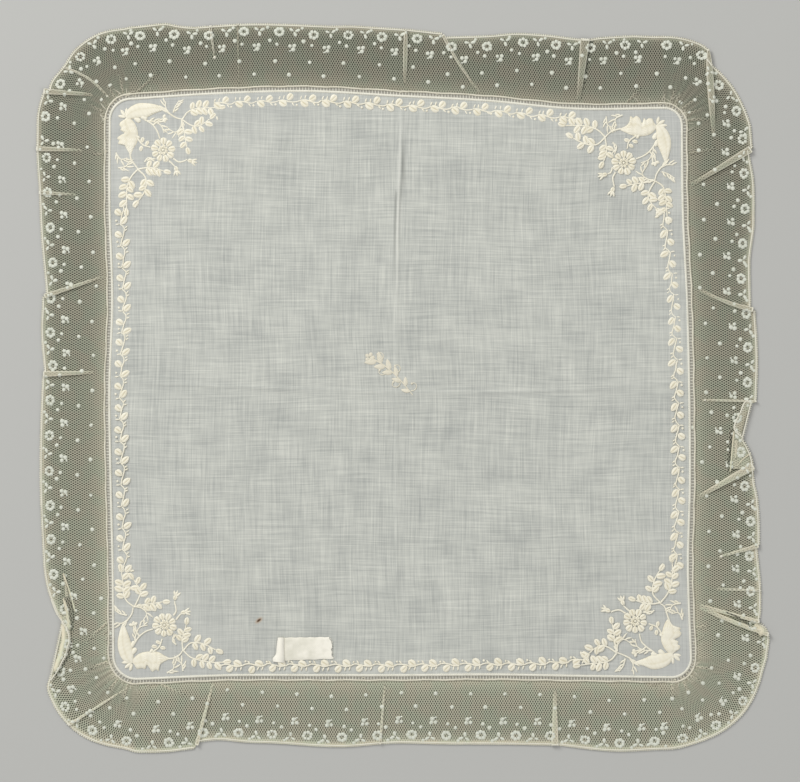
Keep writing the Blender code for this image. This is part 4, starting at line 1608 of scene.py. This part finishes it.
@dataclass
class CornerSpray:
    """A corner's bouquet: a daisy, two big leaves, leafy sprays, curled ferns and bell flowers.

    All four corners have it the same way round. Points run from the corner: along the next side
    clockwise, then back along the side before.
    """

    hem: HemPath
    # How far each spray was worked off its place: top right, bottom right, then on round.
    set_off: tuple[Row, ...] = ((-3.6, -0.3), (-1.2, 2.4), (0.0, 0.0), (0.0, 0.0))
    flower: tuple[float, float] = (30.5, 29.2)
    big_leaves: tuple[Row, ...] = (
        # outer edge, then inner edge, base to tip
        (((8.6, 9.8), (11.0, 5.6), (15.5, 3.2), (20.5, 2.6), (26.0, 3.8), (32.2, 5.8)),
         ((9.8, 11.4), (13.0, 11.4), (17.0, 11.0), (21.0, 10.2), (25.6, 8.5), (32.2, 5.8))),
        (((9.4, 10.8), (8.2, 12.0), (6.0, 13.4), (5.6, 15.2), (6.6, 16.6), (5.8, 17.8), (8.2, 19.0),
          (5.8, 20.6), (4.4, 22.4), (5.6, 24.0), (4.9, 25.4), (8.0, 26.4), (9.8, 28.0), (11.8, 32.0)),
         ((11.0, 10.8), (14.2, 14.0), (15.8, 19.0), (15.2, 24.6), (13.6, 28.6), (11.8, 32.0))),
    )
    lobes: tuple[Row, ...] = (
        # base, the way it points, length, width
        ((13.6, 10.6), (0.9, 0.5), 4.6, 2.6),
        ((17.6, 10.4), (1.0, 0.3), 4.2, 2.3),
        ((14.6, 20.4), (0.8, 0.6), 3.2, 1.6),
    )
    stems: tuple[Row, ...] = (
        ((30.6, 5.8), (33.4, 8.4), (37.0, 10.6), (40.6, 11.6)),
        ((11.5, 31.0), (12.4, 34.4), (14.0, 37.4), (16.2, 39.5)),
        ((19.6, 11.6), (24.0, 14.6), (26.8, 18.0), (28.2, 22.6)),
        ((24.6, 14.8), (27.6, 12.4), (30.0, 11.4)),
        ((35.8, 33.6), (39.0, 35.4), (42.0, 35.0), (44.0, 34.4)),
        ((33.4, 35.2), (35.6, 36.6), (37.0, 38.0)),
        ((15.4, 22.0), (18.6, 26.0), (22.8, 27.6)),
    )
    sprays: tuple[Row, ...] = (
        # points of the stem, number of leaves, leaf length and width
        (((40.6, 11.6), (44.0, 7.6), (48.6, 6.0), (54.0, 5.4), (60.6, 5.0)), 8, 4.9, 3.3),
        (((40.6, 11.6), (45.2, 14.6), (49.6, 15.6), (53.0, 13.8), (56.0, 11.4)), 6, 5.0, 3.2),
        (((40.6, 11.8), (41.8, 17.4), (42.4, 23.0), (43.4, 27.6)), 6, 4.8, 3.2),
        (((16.2, 39.5), (12.4, 43.6), (10.4, 49.0), (9.6, 55.0), (9.8, 61.6)), 8, 5.0, 3.3),
        (((16.2, 39.5), (20.0, 43.6), (20.6, 48.6), (19.0, 53.4), (16.6, 57.4)), 6, 5.1, 3.3),
        (((16.2, 39.5), (21.0, 38.8), (25.6, 39.2), (30.2, 40.8)), 6, 4.9, 3.2),
    )
    ferns: tuple[Row, ...] = (
        # points of the spine, side of the ribs (1 left of its run), number of ribs
        (((40.6, 12.2), (39.8, 16.2), (36.8, 19.0), (32.6, 16.6)), -1, 7),
        (((21.6, 12.6), (25.2, 13.0), (28.8, 15.2), (30.6, 19.4)), -1, 5),
        (((3.8, 30.2), (6.2, 34.2), (10.2, 33.3)), 1, 5),
        (((4.8, 39.2), (9.2, 38.2), (11.2, 34.8)), 1, 5),
        (((33.3, 8.2), (31.6, 5.0), (31.8, 1.6)), -1, 4),
        (((35.8, 8.3), (37.0, 4.2), (39.3, 0.9)), 1, 4),
        (((19.6, 35.6), (21.4, 33.6), (24.0, 33.4)), 1, 3),
    )
    bells: tuple[Row, ...] = (
        # base, then the way it points
        ((44.0, 34.6), (1.0, 0.35)),
        ((37.0, 38.0), (0.25, 1.0)),
    )
    leaflets: tuple[Row, ...] = (
        # base, the way it points, length, width
        ((9.4, 10.4), (-0.7, -0.9), 5.2, 1.9),
        ((9.2, 10.8), (-1.0, -0.25), 4.6, 1.7),
        ((9.8, 9.8), (-0.1, -1.0), 4.8, 1.7),
        ((30.0, 11.4), (0.4, -1.0), 2.6, 1.7),
        ((30.0, 11.4), (1.0, 0.1), 2.8, 1.8),
        ((30.0, 11.6), (0.7, 1.0), 2.8, 1.8),
        ((18.0, 24.8), (0.2, -1.0), 3.4, 2.2),
        ((20.4, 26.6), (0.6, -1.0), 3.2, 2.1),
        ((18.2, 26.2), (-0.2, 1.0), 3.4, 2.2),
        ((56.4, 11.8), (0.9, -0.6), 3.4, 1.2),
        ((60.4, 9.8), (0.2, 1.0), 2.6, 1.2),
        ((15.8, 59.0), (-0.5, 1.0), 3.2, 1.2),
    )

    def stitch(self, work: Needlework, corner: int) -> None:
        """Stitches one corner's spray.

        Args:
            work: the needlework that it joins.
            corner: the number of the side before the corner.
        """
        before, after = self.hem.sides[corner], self.hem.sides[(corner + 1) % 4]
        hem_cross = (np.array(before.outward) * before.stations[-1]
                     + np.array(after.outward) * after.stations[0])
        place = CornerPlace(
            tip=hem_cross + self.hem.shift + self.set_off[corner],
            along=np.array((after.outward[1], -after.outward[0]), float),
            back=-np.array((before.outward[1], -before.outward[0]), float),
            rng=work.rng)
        for outer, inner in self.big_leaves:
            work.shape(place.each(outer), place.each(inner), 0.6)
        for base, towards, length, width in self.lobes:
            work.leaf(place.at(base), place.way(towards), length, width, blunt=0.28,
                      thread=Thread.SATIN)
        for knots in self.stems:
            work.stem(smooth_line(place.each(knots), 5), 1.0, 0.36, 0.75)
        for knots, leaves, length, width in self.sprays:
            work.sprig(place.each(knots), leaves, length, width)
        for knots, side, ribs in self.ferns:
            self._fern(work, smooth_line(place.each(knots), 6), -side, ribs)
        for base, towards in self.bells:
            self._bell(work, place.at(base), place.way(towards))
        for base, towards, length, width in self.leaflets:
            work.leaf(place.at(base), place.way(towards), length, width, rise=0.4,
                      thread=Thread.SATIN if width < 2 else Thread.SPLIT, rows=5)
        self._daisy(work, place.at(self.flower), work.rng.uniform(0, 1))

    def _daisy(self, work: Needlework, centre: Array, turn: float) -> None:
        """The double daisy: two rings of petals round a knot."""
        for count, inner, length, width, rise in ((9, 2.7, 4.3, 3.5, 0.55), (7, 0.8, 2.3, 1.9, 0.7)):
            for number in range(count):
                angle = tau * (number + turn) / count + 0.3 * (count == 7)
                base = centre + inner * ray(angle)
                size = work.rng.uniform(0.9, 1.06)
                work.leaf(base, angle, length * size, width * size, rise=rise, blunt=0.3)
        work.dot(centre, 0.8, 0.8)

    def _fern(self, work: Needlework, spine: Array, side: int, ribs: int) -> None:
        """A curled feather: a bent spine with slender strokes that sweep forward from one side."""
        work.stem(spine, 0.95, 0.34, 0.6)
        way = ways_of(spine)
        for number in range(ribs):
            share = (number + 0.5) / ribs
            index = round(share * (len(spine) - 2))
            work.leaf(spine[index], way[index] + side * radians(42 - 10 * share),
                      3.0 + 1.9 * sin(pi * share), 1.0, rise=0.3, bend=-side * 0.35, blunt=0.7,
                      thread=Thread.SATIN, rows=5)

    def _bell(self, work: Needlework, base: Array, angle: float) -> None:
        """A bell flower: a round cup with three pointed petals."""
        work.leaf(base, angle, 3.0, 2.5, rise=0.55, blunt=0.3, rows=6)
        mouth = base + 2.3 * ray(angle)
        for turn in (-0.62, 0.0, 0.62):
            work.leaf(mouth, angle + turn, 3.8, 1.3, rise=0.42, bend=-turn * 0.5,
                      thread=Thread.SATIN, blunt=0.8, rows=5)


@dataclass
class CentreSprig:
    """A small plain leafy sprig in the middle of the panel, set on the slant, with one blossom."""

    middle: tuple[float, float] = (-5.6, 6.6)
    stem: tuple[Row, ...] = ((-13.0, 10.5), (-5.0, 6.0), (3.0, -1.0), (11.0, -10.5))
    leaves: int = 9
    leaf: tuple[float, float] = (6.6, 3.0)
    curls: int = 5

    def stitch(self, work: Needlework, shift: Array) -> None:
        """Stitches the sprig: a stem, pointed leaves by turns and a blossom at its top."""
        centre = np.array(self.middle) + shift
        line = smooth_line([centre + np.array(point) for point in self.stem], 10)
        work.stem(line, 0.9, 0.26, 0.7)
        way = ways_of(line)
        for number in range(self.leaves):
            index = round((number + 1.6) / (self.leaves + 1.2) * (len(line) - 1))
            side = 1 if number % 2 else -1
            size = 1.1 - 0.04 * number
            work.leaf(line[index], way[index] + pi + side * radians(work.rng.normal(-38, 5)),
                      self.leaf[0] * size, self.leaf[1] * size, rise=0.26, blunt=0.9,
                      thread=Thread.SATIN)
        for number in range(self.curls):
            index = round((number + 1.0) / (self.curls + 0.6) * (len(line) - 1))
            side = -1 if number % 2 else 1
            turn = way[index] + side * (0.5 + np.linspace(0, 4.2, 10))
            step = ray(turn) * np.linspace(1.5, 0.5, 10)[:, None]
            curl = line[index] + np.cumsum(step, axis=0)
            work.stem(curl, 0.55, 0.24, 0.8)
            work.dot(curl[-1], 0.7, 0.26, 7)
        for petal in range(5):
            turn = tau * petal / 5
            work.leaf(line[0] + 0.3 * ray(turn), turn, 2.7, 2.0, rise=0.26, blunt=0.3,
                      thread=Thread.SATIN, rows=4)


@dataclass
class Embroidery:
    """All the white stitching of the panel, in one piece for the border and one for the sprays."""

    hem: HemPath
    ground: Ground

    def build(self, finish: StitchedThread, fine: StitchedThread) -> list[Object]:
        """Makes the vine, the corner sprays and the sprig in the middle.

        Args:
            finish: the thread of the border and the corners.
            fine: the thread of the sprig.

        Returns:
            The three pieces.
        """
        material = finish.build()
        vine = Needlework(self.ground, np.random.default_rng(31))
        VineBorder(self.hem).stitch(vine)
        corners = Needlework(self.ground, np.random.default_rng(47))
        spray = CornerSpray(self.hem)
        for corner in range(4):
            spray.stitch(corners, corner)
        sprig = Needlework(self.ground, np.random.default_rng(12))
        CentreSprig().stitch(sprig, self.hem.shift)
        return [vine.draft.make("vine_border", material, "lawn"),
                corners.draft.make("corner_sprays", material, "lawn"),
                sprig.draft.make("centre_sprig", fine.build(), "lawn")]


@dataclass
class TapeLabel:
    """The blank cotton tape, its left end turned under and its right end cut and fraying."""

    shift: Array
    level: float = 1.25
    # Both ends of the tape from its upper to its lower edge, and the turned end's two sides
    left: tuple[Row, ...] = ((-69.9, -139.7), (-70.5, -146.0), (-70.3, -152.8))
    right: tuple[Row, ...] = ((-41.6, -139.4), (-40.2, -142.6), (-39.9, -147.0), (-39.3, -151.6))
    turn_left: tuple[Row, ...] = ((-70.0, -139.7), (-70.7, -144.5), (-71.2, -149.0), (-73.0, -151.3),
                                  (-72.8, -153.1))
    turn_right: tuple[Row, ...] = ((-66.6, -139.6), (-66.6, -144.0), (-66.5, -148.0), (-66.3, -151.5),
                                   (-66.4, -153.8))
    turn_rise: float = 0.45

    def _edges(self, first: tuple[Row, ...], second: tuple[Row, ...], rows: int) -> list[Array]:
        """Two edges as evenly spaced points."""
        return [even_line(smooth_line(knots, 6) + self.shift, rows) for knots in (first, second)]

    def build(self, finish: WovenTape) -> Object:
        """Makes the tape with its turned end and loose threads."""
        rng = np.random.default_rng(9)
        rows, columns = 15, 41
        left, right = self._edges(self.left, self.right, rows)
        u = np.linspace(0, 1, columns)[:, None, None]
        flat = left[None] + (right - left)[None] * u
        length = hypot(*(right[0] - left[0]))
        width = hypot(*(left[-1] - left[0]))
        flat[-1, :, 0] += rng.uniform(-0.4, 0.35, rows)
        flat[:, 0, 1] += 0.12 * np.sin(np.arange(columns) * 0.8)
        flat[:, -1, 1] += 0.12 * np.sin(np.arange(columns) * 0.6 + 1)
        along = np.broadcast_to((u * length)[..., 0], (columns, rows))
        across = np.broadcast_to(np.linspace(0, width, rows), (columns, rows))
        curl = 0.25 * np.clip((along - length + 4) / 4, 0, 1) ** 2 * (across / width)
        edge = -0.3 * np.clip(1 - np.minimum(across, width - across) / 0.5, 0, 1)
        height = self.level + curl + edge + 0.05 * np.sin(along / 2.3)
        draft = Draft()
        draft.patch(flat, height, paired(along, across),
                    0.55 + 0.4 * np.clip(along / length, 0, 1) ** 3)
        self._turned_end(draft, rows)
        label = draft.make("tape_cloth", finish.build(), "tape")
        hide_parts("tape_label")
        frays = Needlework(Ground(self.level - 0.25), rng)
        for index in range(1, rows):
            end = right[index] + np.array((rng.uniform(0.4, 1.3), rng.normal(0, 0.25)))
            frays.stem(np.linspace(right[index], end, 4), 0.35, 0.25, 0.5)
        loose = frays.draft.make("tape_frays", finish.build(), "tape")
        return label

    def _turned_end(self, draft: Draft, rows: int) -> None:
        """Adds the doubled strip at the left end, whose lower corner sticks out."""
        left, right = self._edges(self.turn_left, self.turn_right, rows)
        share = np.array((0.0, 0.0, 0.5, 1.0, 1.0))
        lift = np.array((0.0, 0.9, 1.0, 0.9, 0.1))
        flat = left[None] + (right - left)[None] * share[:, None, None]
        height = self.level + 0.05 + np.broadcast_to(self.turn_rise * lift[:, None], flat.shape[:2])
        draft.patch(flat, height, flat - left[0])


@dataclass
class Studio:
    """The pale board, the soft light and the camera straight above, as in the photo."""

    view_size: float = 448.0  # millimetres across the picture's 800 pixels
    view_centre: tuple[float, float] = (-1.7, -1.7)
    distance: float = 1.9

    def build(self, shift: Array, board: PaintedBoard) -> None:
        """Sets the board, two lights, the world and the camera."""
        scene = bpy.context.scene
        mesh = bpy.data.meshes.new("board")
        half = 2.2
        mesh.from_pydata([(-half, -half, 0), (half, -half, 0), (half, half, 0), (-half, half, 0)],
                         [], [(0, 1, 2, 3)])
        mesh.materials.append(board.build())
        new_object("board", mesh)
        self._light("key_light", (-1.3, 1.5, 1.3), 0.9, 34.0)
        self._light("fill_light", (1.5, -0.9, 1.9), 1.8, 9.0)
        world = bpy.data.worlds.new("studio")
        world.use_nodes = True
        sky = world.node_tree.nodes["Background"]
        sky.inputs["Color"].default_value = (1.0, 1.0, 1.0, 1.0)
        sky.inputs["Strength"].default_value = 0.55
        scene.world = world
        scene.view_settings.view_transform = "Standard"
        lens = bpy.data.cameras.new("camera")
        lens.sensor_width = 36.0
        lens.lens = lens.sensor_width * self.distance / (self.view_size * MM)
        scene.camera = new_object("camera", lens)
        x, y = (np.array(self.view_centre) + shift) * MM
        scene.camera.location = (x, y, self.distance)

    def _light(self, name: str, place: tuple[float, float, float], size: float,
               power: float) -> None:
        """Adds a square soft light that faces the handkerchief."""
        data = bpy.data.lights.new(name, "AREA")
        data.size = size
        data.energy = power
        lamp = new_object(name, data)
        lamp.location = place
        lamp.rotation_euler = (-lamp.location).to_track_quat("-Z", "Y").to_euler()


def main() -> None:
    """Builds the handkerchief piece by piece."""
    logging.basicConfig(level=logging.INFO, format="%(name)s %(message)s")
    hem = HemPath()
    hem.fit_to("lawn_panel")
    Studio().build(hem.shift, PaintedBoard("painted_board", "#BDBDB9", roughness=0.9, sheen=0.0))
    panel = LawnPanel(hem)
    whipping = StitchedThread("hem_whipping", "#EDEADB", shade_colour="#D2CFBD",
                              slit_shade_colour="#B4B1A0", ridge=1.25)
    panel.build(SheerLawn("sheer_lawn", "#CCCEC6"), whipping)
    heading = StitchedThread("heading_thread", "#E4DFCC", shade_colour="#C6C1AC",
                             slit_shade_colour="#A7A28E", ridge=1.2)
    Insertion(hem).build(OpenBeading("openwork_beading", "#E0DED1"), heading)
    lace = LaceFrill(hem, LaceEdge())
    motif_thread = StitchedThread("clothwork_thread", "#E0E2D4", shade_colour="#CDD0C0",
                                  slit_shade_colour="#A9AB9A")
    cord = StitchedThread("edge_cord", "#E9E6D6", shade_colour="#D8D4C0", slit_shade_colour="#B5B09C",
                          ridge=1.2)
    lace.build(NetGround("cotton_net", "#BEBFAE"), motif_thread, cord)
    ivory = StitchedThread("ivory_satin_stitch", "#F9F4E1", shade_colour="#EDE6CE",
                           slit_shade_colour="#D5CCAE", sheen=0.3)
    fine = StitchedThread("fine_ivory_stitch", "#E9E3CF", shade_colour="#DAD4BF",
                          slit_shade_colour="#C6C2AF")
    Embroidery(hem, Ground(panel.level + 0.12, panel.ground.strips)).build(ivory, fine)
    TapeLabel(hem.shift).build(WovenTape("cotton_tape", "#FBF7E9"))


if __name__ == "__main__":
    main()
